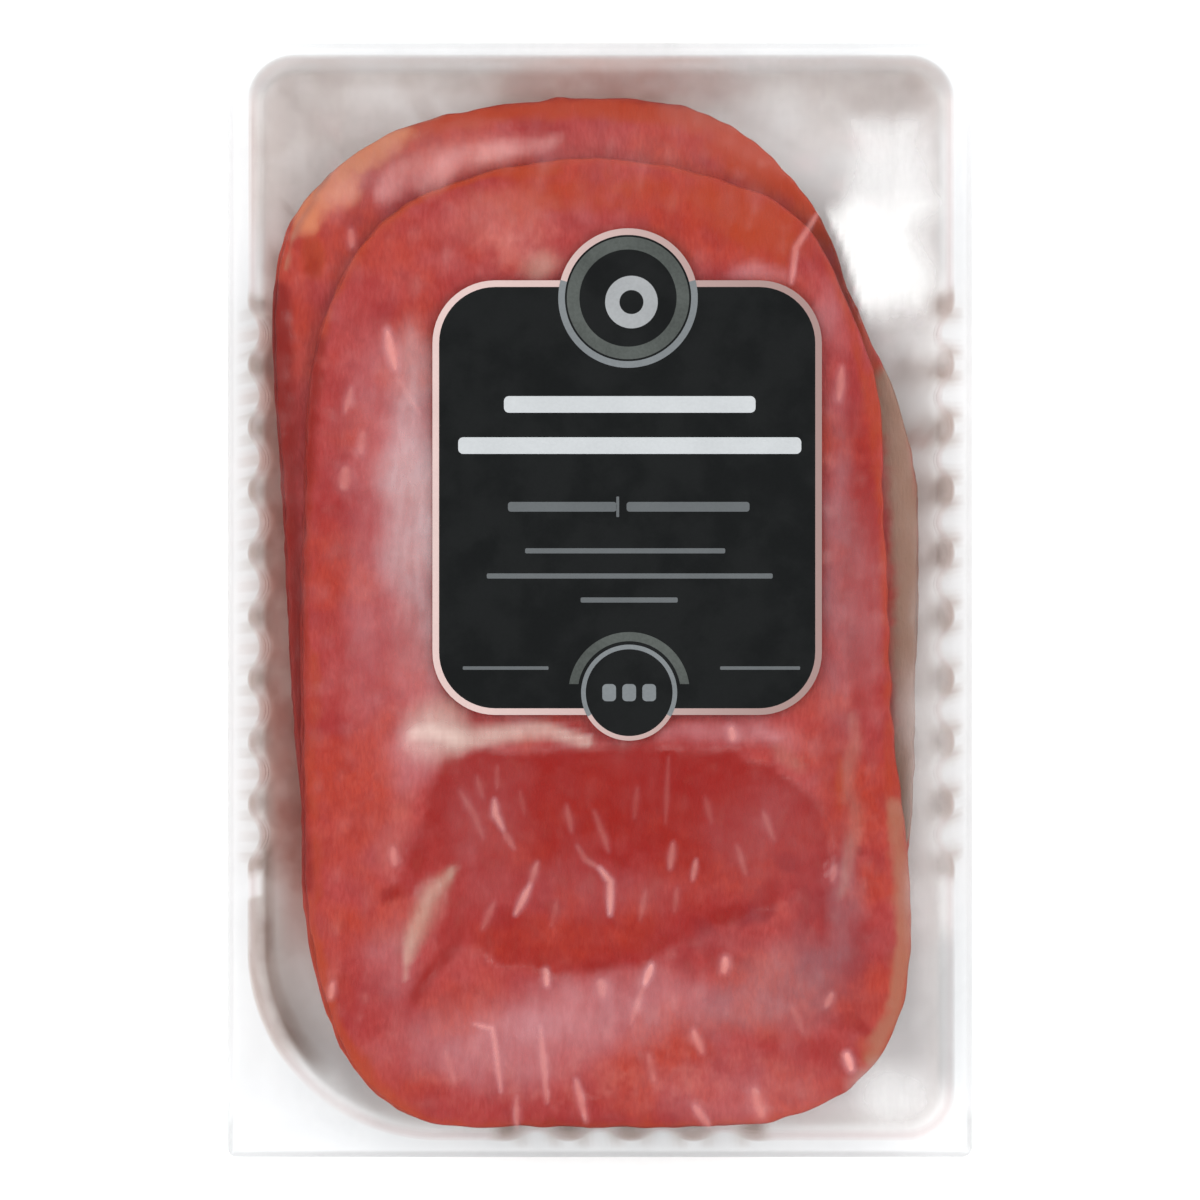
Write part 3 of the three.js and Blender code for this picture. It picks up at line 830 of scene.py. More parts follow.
def trace_mouth(side_depth, end_depth):
    """The mouth's outline, counter-clockwise. Each point has its place, its outward direction, how
    far it stands in between two flutes, and its place on the pack's edge."""
    trace = []
    step = FLUTE_PITCH / 12
    edge_x = HALF_WIDTH - PACK_CORNER
    edge_y = HALF_LENGTH - PACK_CORNER

    def wall(start, end, across, normal, flutes):
        for place in spread(start, end, step):
            inward = stand_in(place, *flutes) if flutes else 0.0
            if normal[0]:
                trace.append(((across, place), normal, inward, (normal[0] * HALF_WIDTH, place)))
            else:
                trace.append(((place, across), normal, inward, (place, normal[1] * HALF_LENGTH)))

    def corner(middle_x, middle_y, radius, turn, steps):
        """A corner of the mouth, with places that go round the pack's own, smaller corner."""
        start = math.cos(turn), math.sin(turn)
        after = -start[1], start[0]
        sign_x = round(start[0] + after[0])
        sign_y = round(start[1] + after[1])
        corner_x, corner_y = sign_x * edge_x, sign_y * edge_y
        for i in range(1, steps):
            share = i / steps
            angle = turn + math.pi / 2 * share
            normal = (math.cos(angle), math.sin(angle))
            place = (middle_x + radius * normal[0], middle_y + radius * normal[1])
            round_share = min(max((share - 0.4) / 0.2, 0.0), 1.0)
            edge_angle = turn + math.pi / 2 * round_share
            on_edge_x = corner_x + PACK_CORNER * math.cos(edge_angle)
            on_edge_y = corner_y + PACK_CORNER * math.sin(edge_angle)
            straight = min(share / 0.4, 1.0) if share < 0.5 else min((1.0 - share) / 0.4, 1.0)
            along_x = abs(start[0]) < 0.5 if share < 0.5 else abs(after[0]) < 0.5
            if along_x:
                on_edge_x = middle_x + (on_edge_x - middle_x) * straight
            else:
                on_edge_y = middle_y + (on_edge_y - middle_y) * straight
            trace.append((place, normal, 0.0, (on_edge_x, on_edge_y)))

    side = (FIRST_SIDE_FLUTE, SIDE_FLUTES, side_depth)
    end = (FIRST_END_FLUTE, END_FLUTES, end_depth)
    small, peel = WELL_CORNER, PEEL_CORNER
    left, right, bottom, top = MOUTH_LEFT, MOUTH_RIGHT, MOUTH_BOTTOM, MOUTH_TOP
    wall(left + peel, right - small, bottom, (0, -1), end)
    corner(right - small, bottom + small, small, -math.pi / 2, 10)
    wall(bottom + small, top - small, right, (1, 0), side)
    corner(right - small, top - small, small, 0.0, 10)
    wall(right - small, left + small, top, (0, 1), None)
    corner(left + small, top - small, small, math.pi / 2, 10)
    wall(top - small, bottom + peel, left, (-1, 0), side)
    corner(left + peel, bottom + peel, peel, math.pi, 30)
    return trace


# The sealing groove's profile: millimetres in from the pack's edge, and the share of its depth.
SEAL_GROOVE = ((0.0, 0.0), (0.5, 0.0), (0.65, 1.0), (0.95, 1.0), (1.1, 0.0))
LIP_STEPS = 5
WALL_STEP = 1.2 * MM
FOOT_STEPS = 6
FLOOR_SHARES = (0.97, 0.92, 0.84, 0.72, 0.56, 0.38, 0.2)


def tray_rings(sizes):
    """The rings of the tray's upper surface, from the pack's edge to the middle of the floor."""
    trace = trace_mouth(sizes.side_depth, sizes.end_depth)

    def edge_ring(inset, drop):
        shrink_x = 1.0 - inset / HALF_WIDTH
        shrink_y = 1.0 - inset / HALF_LENGTH
        return [Vector((e[0] * shrink_x, e[1] * shrink_y, FLANGE_TOP - drop)) for _, _, _, e in trace]

    def mouth_ring(outset, z, fluting):
        ring = []
        for (x, y), (nx, ny), inward, _ in trace:
            move = outset - inward * fluting
            ring.append(Vector((x + nx * move, y + ny * move, z)))
        return ring

    rings = [edge_ring(inset * MM, share * sizes.seal) for inset, share in SEAL_GROOVE]
    for i in range(LIP_STEPS + 1):
        angle = math.pi / 2 * i / LIP_STEPS
        drop = sizes.lip * (1.0 - math.cos(angle))
        rings.append(mouth_ring(sizes.lip * (1.0 - math.sin(angle)), FLANGE_TOP - drop, 1.0))
    wall_top = FLANGE_TOP - sizes.lip
    wall_foot = sizes.wall + sizes.floor
    for z in spread(wall_top, wall_foot, WALL_STEP)[1:-1]:
        rings.append(mouth_ring(-sizes.draft * (wall_top - z), z, 1.0))
    foot = -sizes.draft * (wall_top - wall_foot)
    for i in range(FOOT_STEPS + 1):
        share = i / FOOT_STEPS
        angle = math.pi / 2 * share
        outset = foot - sizes.floor * (1.0 - math.cos(angle))
        z = sizes.wall + sizes.floor * (1.0 - math.sin(angle))
        rings.append(mouth_ring(outset, z, 1.0 - (1.0 - FLUTE_LEFT_AT_FLOOR) * share))
    middle = Vector(((MOUTH_LEFT + MOUTH_RIGHT) / 2, (MOUTH_BOTTOM + MOUTH_TOP) / 2, sizes.wall))
    floor_edge = rings[-1]
    for share in FLOOR_SHARES:
        rings.append([middle.lerp(point, share) for point in floor_edge])
    return rings


# Painted shade on the well's floor, grey in the first table and pink in the second: an oval's middle,
# half sizes, turn and strength.
SHADED_FLOOR = (
    (-50, 82, 26, 24, 0, 0.33), (0, 93, 60, 12, 0, 0.44), (46, 90, 24, 11, -8, 0.34),
    (-3, 93.5, 62, 3.5, 0, 0.40), (-60, 78, 3.5, 22, 0, 0.36),
)
PINK_SHADED_FLOOR = (
    (3, 91, 30, 7, 0, 0.50), (56, 8, 6, 30, 0, 0.10), (57, -30, 5, 60, 0, 0.07), (55, 28, 5, 2.5, 0, 0.30),
)
# Painted shade on the flange, in the same way.
SHADED_FLANGE = ((-66, -92, 18, 18, 0, 0.26), (-30, -100, 60, 8, 0, 0.08))


def flute_lobes(along, first, count):
    """1 at the middle of each flute along a wall, 0 between two of them and past the last ones."""
    last = first + (count - 1) * FLUTE_PITCH
    lobes = 0.5 + 0.5 * np.cos(2.0 * math.pi * (along - first) / FLUTE_PITCH)
    return lobes * band(along, first / MM - 4, first / MM, last / MM, last / MM + 4)


def strongest(x, y, ovals):
    """The strongest of the ovals that cover each point."""
    return np.maximum.reduce([strength * blob(x, y, *shape) for *shape, strength in ovals])


def sheet_shade(x, y, depth, from_meat):
    """How dark the sheet is in its flutes, at the foot of its walls and beside the meat."""
    on_left = 1.0 - smooth(x, -40 * MM, 20 * MM)
    inside = depth > 0.0
    side_lobes = flute_lobes(y, FIRST_SIDE_FLUTE, SIDE_FLUTES)
    end_lobes = flute_lobes(x, FIRST_END_FLUTE, END_FLUTES)
    at_wall = band(depth, -0.8, 0.2, 1.2, 2.8)
    foot = band(depth, 0.8, 2.0, 2.8, 4.0)
    flutes = at_wall * side_lobes**2 * (x < -50 * MM)
    flutes += 1.2 * at_wall * side_lobes * (x > 50 * MM)
    flutes += 0.9 * at_wall * end_lobes * (y < -88 * MM)
    streaks = smooth(y, 8 * MM, 24 * MM) * (1.0 - smooth(depth, 7 * MM, 10 * MM)) * inside
    left_side = on_left * smooth(y, -88 * MM, -74 * MM)
    low_foot = band(depth, 1.2, 2.0, 4.4, 5.4) * (1.0 - 0.7 * smooth(depth, 2.6 * MM, 3.4 * MM))
    at_peel = (x < -44 * MM) * (y < -52 * MM) * smooth(y, -84 * MM, -74 * MM)
    at_top = smooth(y, 88.5 * MM, 92 * MM) * smooth(depth, -0.4 * MM, 0.4 * MM)
    layers = (
        flutes,
        0.16 * streaks * side_lobes**2 * (x > 48 * MM),
        0.62 * foot * left_side * (y < 50 * MM),
        0.10 * foot,
        0.85 * low_foot * left_side * (1.0 - smooth(y, -46 * MM, -28 * MM)),
        0.7 * at_wall * at_peel,
        strongest(x, y, SHADED_FLOOR) * inside,
        0.35 * band(from_meat, 0.2, 0.8, 1.2, 2.0) * on_left * inside,
        0.36 * at_top,
    )
    return np.maximum.reduce(layers)


def sheet_pink_shade(x, y, depth, from_meat):
    """How much painted shade, tinged pink by light off the meat, the sheet gets, most of it on the left.
    """
    on_left = 1.0 - smooth(x, -40 * MM, 20 * MM)
    beside = (1.0 - smooth(from_meat, 3.0 * MM, 9.0 * MM)) * smooth(depth, 0.6 * MM, 2.6 * MM)
    strength = 0.56 + 0.38 * (1.0 - smooth(y, -45 * MM, -5 * MM))
    strength -= 0.55 * (1.0 - smooth(y, -60 * MM, -40 * MM))
    pink_shade = beside * (0.03 + strength * on_left * (1.0 - smooth(y, 40 * MM, 75 * MM)))
    return np.maximum(pink_shade, strongest(x, y, PINK_SHADED_FLOOR) * (depth > 0.0))


def sheet_edge(x, y, depth):
    """Painted shade: how grey the sheet is along the cut edge, in the flange's ovals and where the lip
    bends.
    """
    from_edge = np.minimum(HALF_WIDTH - np.abs(x), HALF_LENGTH - np.abs(y))
    lip = band(depth, -0.9, 0.1, 1.3, 2.1)
    low_right = (x > 50 * MM) * band(y, -90, -82, -62, -56)
    layers = (
        (0.26 + 0.4 * (y < -90 * MM)) * (1.0 - smooth(from_edge, 0.6 * MM, 1.2 * MM)),
        strongest(x, y, SHADED_FLANGE) * (depth < -0.6 * MM),
        0.6 * lip * smooth(y, 86 * MM, 91 * MM),
        0.22 * band(depth, 0.3, 1.0, 1.6, 2.4) * smooth(y, 54 * MM, 60 * MM),
        0.55 * lip * low_right,
    )
    return np.maximum.reduce(layers)


def paint_tray(piece, meat_outline):
    """The masks that the tray's material reads."""
    place = coordinates(piece)
    x, y = place[:, 0], place[:, 1]
    depth = depth_in_mouth(x, y)
    from_meat = -depth_in_outline(x, y, meat_outline)
    paint(piece, "edge", sheet_edge(x, y, depth))
    paint(piece, "shade", sheet_shade(x, y, depth, from_meat))
    paint(piece, "pink_shade", sheet_pink_shade(x, y, depth, from_meat))


class LOINPACK_OT_tray(bpy.types.Operator):
    """Add the clear tray, formed from one sheet with fluted walls"""

    bl_idname = "mesh.loinpack_tray"
    bl_label = "Add Clear Tray"

    def execute(self, context):
        sizes = context.scene.loin_pack.tray
        piece = grow_rings("clear_tray", tray_rings(sizes), close_start=False)
        set_upright(piece)
        paint_tray(piece, smoothed(cad_outline(LOWER_TOP), 168))
        apply_modifier(piece, "SOLIDIFY", thickness=sizes.wall, offset=-1.0, use_even_offset=True)
        finish_piece(piece, tray_material(sizes), "clear_tray", "tray")
        return {"FINISHED"}


def set_upright(piece):
    """An open sheet's faces are turned to point up."""
    up = sum(face.normal.z * face.area for face in piece.data.polygons)
    if up < 0.0:
        piece.data.flip_normals()


# ---- Slices --------------------------------------------------------------------------------------


def cad_outline(node):
    """The widest outline of a CAD slice, counter-clockwise about its middle, as an array of x and y."""
    low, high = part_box(node)
    middle = (low.z + high.z) / 2
    points = {
        (round(v.co.x, 6), round(v.co.y, 6))
        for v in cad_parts[node].data.vertices
        if abs(v.co.z - middle) < 0.05 * MM
    }
    points = np.array(sorted(points))
    from_middle = points - points.mean(axis=0)
    return points[np.argsort(np.arctan2(from_middle[:, 1], from_middle[:, 0]))]


def smoothed(outline, count):
    """A smooth closed curve through an outline's points, as `count` points spread between them."""
    number = len(outline)
    places = np.arange(count) * number / count
    before = places.astype(int)
    share = (places - before)[:, None]
    p0, p1, p2, p3 = (outline[(before + k) % number] for k in (-1, 0, 1, 2))
    return 0.5 * (
        2 * p1 + (p2 - p0) * share + (2 * p0 - 5 * p1 + 4 * p2 - p3) * share**2
        + (3 * p1 - p0 - 3 * p2 + p3) * share**3
    )


# How finely a slice is divided: points round it and rings over its top where that top shows, and
# the shares of its outline that its other rings have.
SHOWN_POINTS = 448
HIDDEN_POINTS = 224
TOP_RINGS = 54
UNDER_SHARES = (0.25, 0.5, 0.75, 0.9, 0.97)
# The radius of a slice's edge and the steps round it.
EDGE_ROUNDING = 0.5 * MM
EDGE_STEPS = 6


def slice_rings(outline, bottom, top, under_shares, over_shares):
    """The rings of a slice's skin, from under its middle, round its edge, to the middle of its top."""
    middle = outline.mean(axis=0)
    reach = np.hypot(*(outline - middle).T)[:, None]
    half = (top - bottom) / 2
    rings = []

    def ring(share, z):
        flat = middle + (outline - middle) * share
        return [Vector((x, y, z)) for x, y in flat]

    rings += [ring(share, bottom) for share in under_shares]
    for i in range(EDGE_STEPS + 1):
        angle = math.pi * (i / EDGE_STEPS - 0.5)
        inset = EDGE_ROUNDING * (1.0 - math.cos(angle))
        rings.append(ring(1.0 - inset / reach, bottom + half * (1.0 + math.sin(angle))))
    rings += [ring(share, top) for share in over_shares]
    return rings


# Paint on the slices, in millimetres. A blob is a middle, two half sizes, a turn and a strength, and
# a stroke is a path, a half width and a strength. The maroon paint is painted shade, and a few pale
# ovals are painted glare and a painted highlight.
LOWER_PAINT = {
    "tan": {
        "blobs": ((-45, 71.5, 7, 4.5, 50, 0.55),),
        "strokes": ((((-51.2, 67), (-48.5, 71.5), (-43.2, 77), (-35.5, 82)), 4.9, 0.85),),
    },
    "smoke": {
        "blobs": ((28, 77, 20, 9, -35, 0.95), (35, 66, 10, 9, 0, 0.6), (-50.3, 60.5, 3.6, 6, 10, 1.0)),
        "strokes": (
            (((-36, 81.5), (-28, 84.5), (-15, 86.5), (0, 87), (15, 85)), 4.0, 1.0),
            (((15, 86), (25, 82), (34, 74), (40, 64)), 5.0, 1.0),
            (((45, 50), (49, 38), (50.5, 30)), 2.5, 0.8),
            (((-46, -64), (-40, -72), (-33, -78)), 3.0, 0.6),
        ),
    },
    "rind": {
        "blobs": (),
        "strokes": ((((-55, 58), (-53, 66), (-46, 77), (-38, 82.5), (-28, 85)), 0.9, 0.8),),
    },
    # Painted shade along the top rim and the left side.
    "maroon_shade": {
        "blobs": ((-50.7, 60, 3, 6, 10, 0.5),),
        "strokes": (
            (((-36, 83.2), (-28, 86), (-15, 88), (0, 88.6), (15, 87.2)), 2.4, 0.5),
            (((-56.5, 54), (-55.2, 17), (-53, -20), (-52, -36)), 4.0, 1.0),
        ),
    },
    "grey": {
        "blobs": (),
        "strokes": ((((50.8, 38), (53.5, 18), (54.3, 0), (54, -22), (52.5, -40)), 5.0, 1.0),),
    },
    "deep": {"blobs": ((44, 53, 2.5, 6, 15, 0.6), (46, 20, 5, 30, 5, 0.4)), "strokes": ()},
    # This pale oval is painted glare.
    "pale": {"blobs": ((-20, 80, 8, 4, 5, 0.2),), "strokes": ()},
    "plum": {"blobs": ((-44, 66, 5, 3, 40, 0.4),), "strokes": ()},
}
UPPER_PAINT = {
    "tan": {
        "blobs": (),
        "strokes": ((((52.8, -56), (53.2, -64), (51.5, -71)), 1.6, 0.55),),
    },
    "smoke": {
        "blobs": (
            (49, 34, 3.5, 14, 5, 0.7), (42, -33, 1.6, 9, 0, 0.7), (-43, -82, 7, 6, -50, 0.8),
            (26, 67, 20, 9, -28, 0.9), (0, 71, 36, 6, 0, 0.6), (46, -78, 2, 3, 0, 0.6),
        ),
        "strokes": (
            (((-38, 66.5), (-30.6, 71.3), (-25.5, 73), (-18.7, 75), (-8, 75.5)), 1.7, 1.0),
            (((49.5, 20), (50, 0), (50.5, -20), (51, -45)), 1.8, 0.5),
            (((-50.5, -58), (-46.5, -74), (-40, -85), (-32, -91)), 2.4, 0.8),
            (((46, -84), (51, -76), (53, -66)), 2.2, 0.9),
            (((-50, -10), (-50.5, -35), (-49.5, -52)), 2.2, 0.5),
        ),
    },
    "rind": {
        "blobs": (),
        "strokes": ((((51.5, -36), (53, -50), (53.2, -62), (51.4, -72), (47.5, -80)), 2.8, 0.9),),
    },
    # Painted shade along the left side and the bottom edge.
    "maroon_shade": {
        "blobs": ((-8, -91.5, 22, 1.6, 0, 0.4),),
        "strokes": ((((-49.5, 45), (-52.5, 12), (-53, -30), (-51.5, -50)), 2.8, 0.8),),
    },
    "grey": {"blobs": (), "strokes": ()},
    "plum": {
        "blobs": (
            (40, -60, 13, 26, 8, 0.6), (20, -62, 18, 10, 20, 0.4), (33, -46, 4, 3, -30, 1.0),
            (27, -55, 7, 3, 22, 1.0), (18, -57, 4, 2.5, 0, 0.8), (43, 30, 5, 24, 0, 0.45),
            (-44, 20, 5, 40, 0, 0.25), (-36, -66, 6, 12, 0, 0.25),
        ),
        "strokes": (),
    },
    "deep": {
        "blobs": (
            (-0.5, -64.5, 5.5, 1.8, 8, 1.0), (22.5, -55, 6, 3.5, 15, 1.0), (29.5, -51.5, 3.5, 6, -30, 1.0),
            (46, -75, 2.2, 2.6, 0, 0.9), (45.5, -44, 1.6, 1.6, 0, 1.0), (-37, -51.5, 3, 2, 20, 1.0),
            (46, 6, 6, 42, 0, 0.95), (42, -36, 6, 26, 0, 0.5), (40, -75, 12, 14, 0, 0.35),
            (-20, -22, 26, 2.2, 0, 0.5), (38.5, 59, 2.5, 5, 25, 0.5), (20, 64, 5, 4, 0, 0.4),
            (-46, 5, 5, 50, 0, 0.2),
        ),
        "strokes": ((((-25, -60), (-29, -64.5), (-32.5, -69.5)), 2.4, 0.9),),
    },
    "pale": {
        # Its small first oval is a painted highlight.
        "blobs": ((43.5, -80.5, 1.2, 1.6, 0, 0.7), (0, -84, 60, 10, 0, 0.22), (-14, 62, 14, 7, 0, 0.3)),
        "strokes": (),
    },
}


def painted_mask(x, y, parts):
    mask = np.zeros(x.shape)
    for *shape, strength in parts["blobs"]:
        mask = np.maximum(mask, strength * blob(x, y, *shape))
    for points, half_width, strength in parts["strokes"]:
        mask = np.maximum(mask, strength * stroke(x, y, points, half_width))
    return mask


def paint_slice(piece, outline, plan, is_upper):
    """The masks that the meat's material reads."""
    place = coordinates(piece)
    x, y = place[:, 0], place[:, 1]
    depth, _ = along_path(x, y, outline[::4], closed=True)
    rim = 1.0 - smooth(depth, 0.2 * MM, 1.8 * MM)
    for name, parts in plan.items():
        mask = painted_mask(x, y, parts)
        if name == "smoke":
            mask = np.maximum(mask, 0.55 * rim)
        if name == "deep" and is_upper:
            mask = np.maximum(mask, cling(x, y) * (0.5 + 0.35 * smooth(y, -52 * MM, -36 * MM)))
        paint(piece, name, mask)


class LOINPACK_OT_slices(bpy.types.Operator):
    """Add the eight slices of cured loin in their two groups"""

    bl_idname = "mesh.loinpack_slices"
    bl_label = "Add Loin Slices"

    def execute(self, context):
        look = context.scene.loin_pack.slices
        material = loin_material(look)
        for index, node in enumerate(SLICES):
            shows = node in (LOWER_TOP, UPPER_TOP)
            is_upper = index >= SLICES.index(LOWER_TOP) + 1
            outline = smoothed(cad_outline(node), SHOWN_POINTS if shows else HIDDEN_POINTS)
            low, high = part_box(node)
            over = np.linspace(0.985, 0.02, TOP_RINGS) if shows else UNDER_SHARES[::-1]
            rings = slice_rings(outline, low.z, high.z, UNDER_SHARES, over)
            piece = grow_rings(f"loin_{node}", rings, close_start=True)
            self.roughen(piece, outline, look, index)
            paint_slice(piece, outline, UPPER_PAINT if is_upper else LOWER_PAINT, is_upper)
            finish_piece(piece, material, "loin", node)
        return {"FINISHED"}

    def roughen(self, piece, outline, look, index):
        """The slice gets its waves, more of them the higher it lies, and its ragged edge."""
        place = coordinates(piece)
        x, y = place[:, 0].copy(), place[:, 1].copy()
        place[:, 2] += look.relief * meat_relief(x, y) * index / (len(SLICES) - 1)
        middle = outline.mean(axis=0)
        from_middle = place[:, :2] - middle
        reach = np.maximum(np.hypot(*from_middle.T), 1e-9)
        depth, _ = along_path(x, y, outline[::4], closed=True)
        near_edge = 1.0 - smooth(depth, 0.0, 4 * MM)
        stray = look.ragged * near_edge * (waves(x, y, 6 * MM, 30 + index) * 0.6 + 0.8)
        place[:, :2] += from_middle / reach[:, None] * stray[:, None]
        place[:, 0] += look.bulge * self.swelling(x, y, depth, index)
        set_coordinates(piece, place)

    def swelling(self, x, y, depth, index):
        """How far the right side stands out beside the label, from 0 to 1, the upper slices less."""
        is_upper = index > SLICES.index(LOWER_TOP)
        middle, most = (36 * MM, 0.55) if is_upper else (31 * MM, 1.0)
        beside = 1.0 - smooth(np.abs(y - middle), 0.0, 26 * MM)
        return most * beside * smooth(x, 20 * MM, 40 * MM) * (1.0 - smooth(depth, 0.0, 14 * MM))


# ---- Lid film ------------------------------------------------------------------------------------

# Milky places of the film, partly its own haze and partly painted glare and painted light: a tone, a
# strength, and an oval's middle, half sizes and turn, or the half width and path of a stroke, or the
# corners of an area. All lengths are millimetres. The white, bright and glare tones are painted glare
# and painted light, the salmon tone is painted glints and the darkest grey tone is painted shade.
HAZE_AND_GLARE_TONES = {
    "mauve": (0.60, 0.52, 0.54),
    "cream": (0.67, 0.545, 0.48),
    "beige": (0.56, 0.42, 0.33),
    "salmon_glint": (0.76, 0.32, 0.27),
    "rose": (0.64, 0.33, 0.36),
    "glare": (0.80, 0.46, 0.44),
    "cool": (0.38, 0.33, 0.37),
    "shade_grey": (0.28, 0.275, 0.28),
    "white": (0.54, 0.535, 0.535),
    "bright_glare": (0.60, 0.595, 0.59),
}
HAZE_AND_GLARE_OVALS = (
    ("mauve", 0.30, (-33.5, 18, 7.5, 33, 0)),
    ("mauve", 0.12, (-32, 42, 5, 12, 8)),
    ("mauve", 0.12, (-29.5, 2, 4, 26, 0)),
    ("rose", 0.12, (-38, 34, 8, 18, 10)),
    ("rose", 0.12, (-40, 5, 7, 40, 0)),
    ("rose", 0.16, (-33, -15, 6, 10, 0)),
    ("cream", 0.34, (-28.5, -23.5, 8, 8, -28)),
    ("rose", 0.20, (-33, -27, 7, 9, 0)),
    ("rose", 0.19, (1, -71, 30, 10, 2)),
    ("rose", 0.24, (-17, -78, 22, 11, 0)),
    ("rose", 0.10, (-36, -62, 6, 14, 0)),
    ("salmon_glint", 0.10, (-35.5, -41, 3.5, 11, -12)),
    ("cool", 0.15, (31, -68, 20, 10, 20)),
    ("glare", 0.12, (-19, 79, 8, 3, 8)),
    ("glare", 0.13, (-28.5, 74.5, 6, 3.5, 40)),
    ("cool", 0.10, (43, -52, 4, 14, 0)),
    ("cool", 0.12, (42, 6, 4.5, 40, 0)),
    ("mauve", 0.08, (53.5, -20, 3, 15, 0)),
    ("rose", 0.10, (46.5, -2, 3.5, 24, 0)),
    ("rose", 0.08, (25, -86, 28, 8, 0)),
    ("glare", 0.025, (6, 78, 30, 7, -4)),
    ("glare", 0.12, (-45, 71, 4, 6, -35)),
    ("rose", 0.12, (32, -24, 10, 3, -20)),
    ("beige", 0.10, (33.5, -28, 5, 2.5, -40)),
    ("rose", 0.20, (28, 57, 8, 3, 0)),
    ("rose", 0.12, (40, 50, 3.5, 10, 12)),
    ("beige", 0.18, (-11.5, 59, 5, 4, 0)),
    ("salmon_glint", 0.12, (-18, 66, 14, 7, 0)),
    # Painted shade: the darkest grey ovals darken the top of the well.
    ("shade_grey", 0.17, (34, 88, 34, 9, -6)),
    ("shade_grey", 0.12, (-46, 82, 22, 18, 0)),
    ("shade_grey", 0.13, (8, 93, 80, 5, 0)),
    # Painted light, over the film's haze: the white ovals lighten the well's right side and its corners.
    ("white", 0.55, (52, -87, 9, 8, 0)),
    ("white", 0.30, (58, 43.5, 4, 5, 0)),
    ("white", 0.16, (53, 46, 5, 6, 0)),
    ("white", 0.26, (58, -32, 5.5, 60, 0)),
    ("white", 0.22, (-46.5, -87, 9, 5, -40)),
)
# Milky places that show where the film is tight as well.
CLINGING_OVALS = (
    ("rose", 0.05, (-2, -51, 30, 7, 0)),
    ("rose", 0.05, (-20, -38, 12, 16, 0)),
    ("rose", 0.055, (30, -42, 15, 17, 0)),
)
HAZE_AND_GLARE_STROKES = (
    ("cream", 0.33, 3.4, ((-31.5, -23), (-22, -23.2), (-12, -23.6), (-2, -24.4))),
    ("rose", 0.14, 2.8, ((12, -23.2), (22, -23.4), (32, -24.2))),
    ("glare", 0.17, 4.7, ((-38, 70.5), (-31, 75.6), (-24, 78), (-16, 79.4), (-8, 80.2))),
    ("beige", 0.19, 3.8, ((-26.5, -47), (-29.5, -52), (-32, -57.5), (-33.5, -63))),
    ("beige", 0.16, 2.0, ((-25.5, -46), (-29, -51), (-32, -56.5), (-34, -63), (-34.6, -67))),
    ("beige", 0.09, 2.4, ((43.5, -20), (44.4, -32), (44, -46), (43, -52))),
    ("cool", 0.25, 1.0, ((52, 49.8), (54, 50.5), (57, 49))),
)
# Painted glare of the lamps on the film at the top right.
GLARE_AREAS = (
    ("white", 0.66, ((45, 84), (57, 84.2), (57.6, 68), (44, 67), (44, 76))),
    (
        "bright_glare", 0.88,
        ((36, 65), (40, 67.5), (45, 69), (57.6, 70), (57.2, 62), (57.6, 51), (50, 49), (44, 50), (39, 57)),
    ),
)

# Speckles of haze and painted soft glare all over the meat: a tone, a strength, how many millimetres
# across, and a seed.
HAZE_AND_GLARE_SPECKLES = (("rose", 0.05, 7.5, 71), ("glare", 0.045, 4.0, 73), ("cool", 0.03, 11, 75))


def haze_and_glare_places(x, y, look):
    """The film's milkiness and painted glare, from 0 to 1, and their colour, for each vertex."""
    bent_x = x + 0.8 * MM * waves(x, y, 15 * MM, 61)
    bent_y = y + 0.8 * MM * waves(x, y, 15 * MM, 63)
    slack = 1.0 - 0.95 * cling(x, y)
    depth = depth_in_mouth(x, y)
    inside = smooth(depth, -1.0 * MM, 1.0 * MM)
    haze_and_glare = look.haze_and_glare * inside * slack
    tone = np.outer(haze_and_glare, look.milk_and_glare)

    def lay(name, cover):
        """Lays a patch over what is there already."""
        nonlocal haze_and_glare, tone
        tone = tone * (1.0 - cover)[:, None] + np.outer(cover, HAZE_AND_GLARE_TONES[name])
        haze_and_glare = haze_and_glare * (1.0 - cover) + cover

    for name, strength, shape in HAZE_AND_GLARE_OVALS:
        lay(name, strength * slack * blob(bent_x, bent_y, *shape))
    for name, strength, shape in CLINGING_OVALS:
        lay(name, strength * blob(bent_x, bent_y, *shape))
    for name, strength, half_width, path in HAZE_AND_GLARE_STROKES:
        shown = slack if name in ("cream", "rose") else 1.0
        lay(name, strength * shown * stroke(bent_x, bent_y, path, half_width, taper=0.5))
    meat = smoothed(cad_outline(LOWER_TOP), 168)
    beside_meat = smooth(-depth_in_outline(x, y, meat), 0.8 * MM, 2.2 * MM)
    for name, strength, corners in GLARE_AREAS:
        in_area = depth_in_outline(bent_x, bent_y, np.array(corners, float) * MM)
        lay(name, strength * beside_meat * smooth(in_area, -3.0 * MM, 3.4 * MM))
    over_meat = smooth(depth, 7 * MM, 14 * MM)
    for name, most, length, seed in HAZE_AND_GLARE_SPECKLES:
        blotches = smooth(waves(x, 0.8 * y, length * MM, seed), 0.2, 2.2)
        lay(name, most * blotches * over_meat * (0.35 + 0.65 * slack))
    # Painted glints along the wrinkles: a rose halo round a salmon core.
    for path, half_width, _, bright_glare in WRINKLES:
        length = math.dist(path[0], path[-1])
        taper = 0.8 * min(length / (6 * half_width), 1.0)
        lay("rose", 0.35 * bright_glare * stroke(x, y, path, 2.2 * half_width, taper=0.5 * taper))
        lay("salmon_glint", 0.65 * bright_glare * stroke(x, y, path, 1.05 * half_width, taper=taper))
    return haze_and_glare, tone / np.maximum(haze_and_glare, 1e-6)[:, None]


def paint_colour(piece, name, values):
    attribute = piece.data.attributes.new(name, "FLOAT_COLOR", "POINT")
    solid = np.ones((len(values), 4), np.float32)
    solid[:, :3] = np.clip(values, 0.0, 1.0)
    attribute.data.foreach_set("color", solid.ravel())


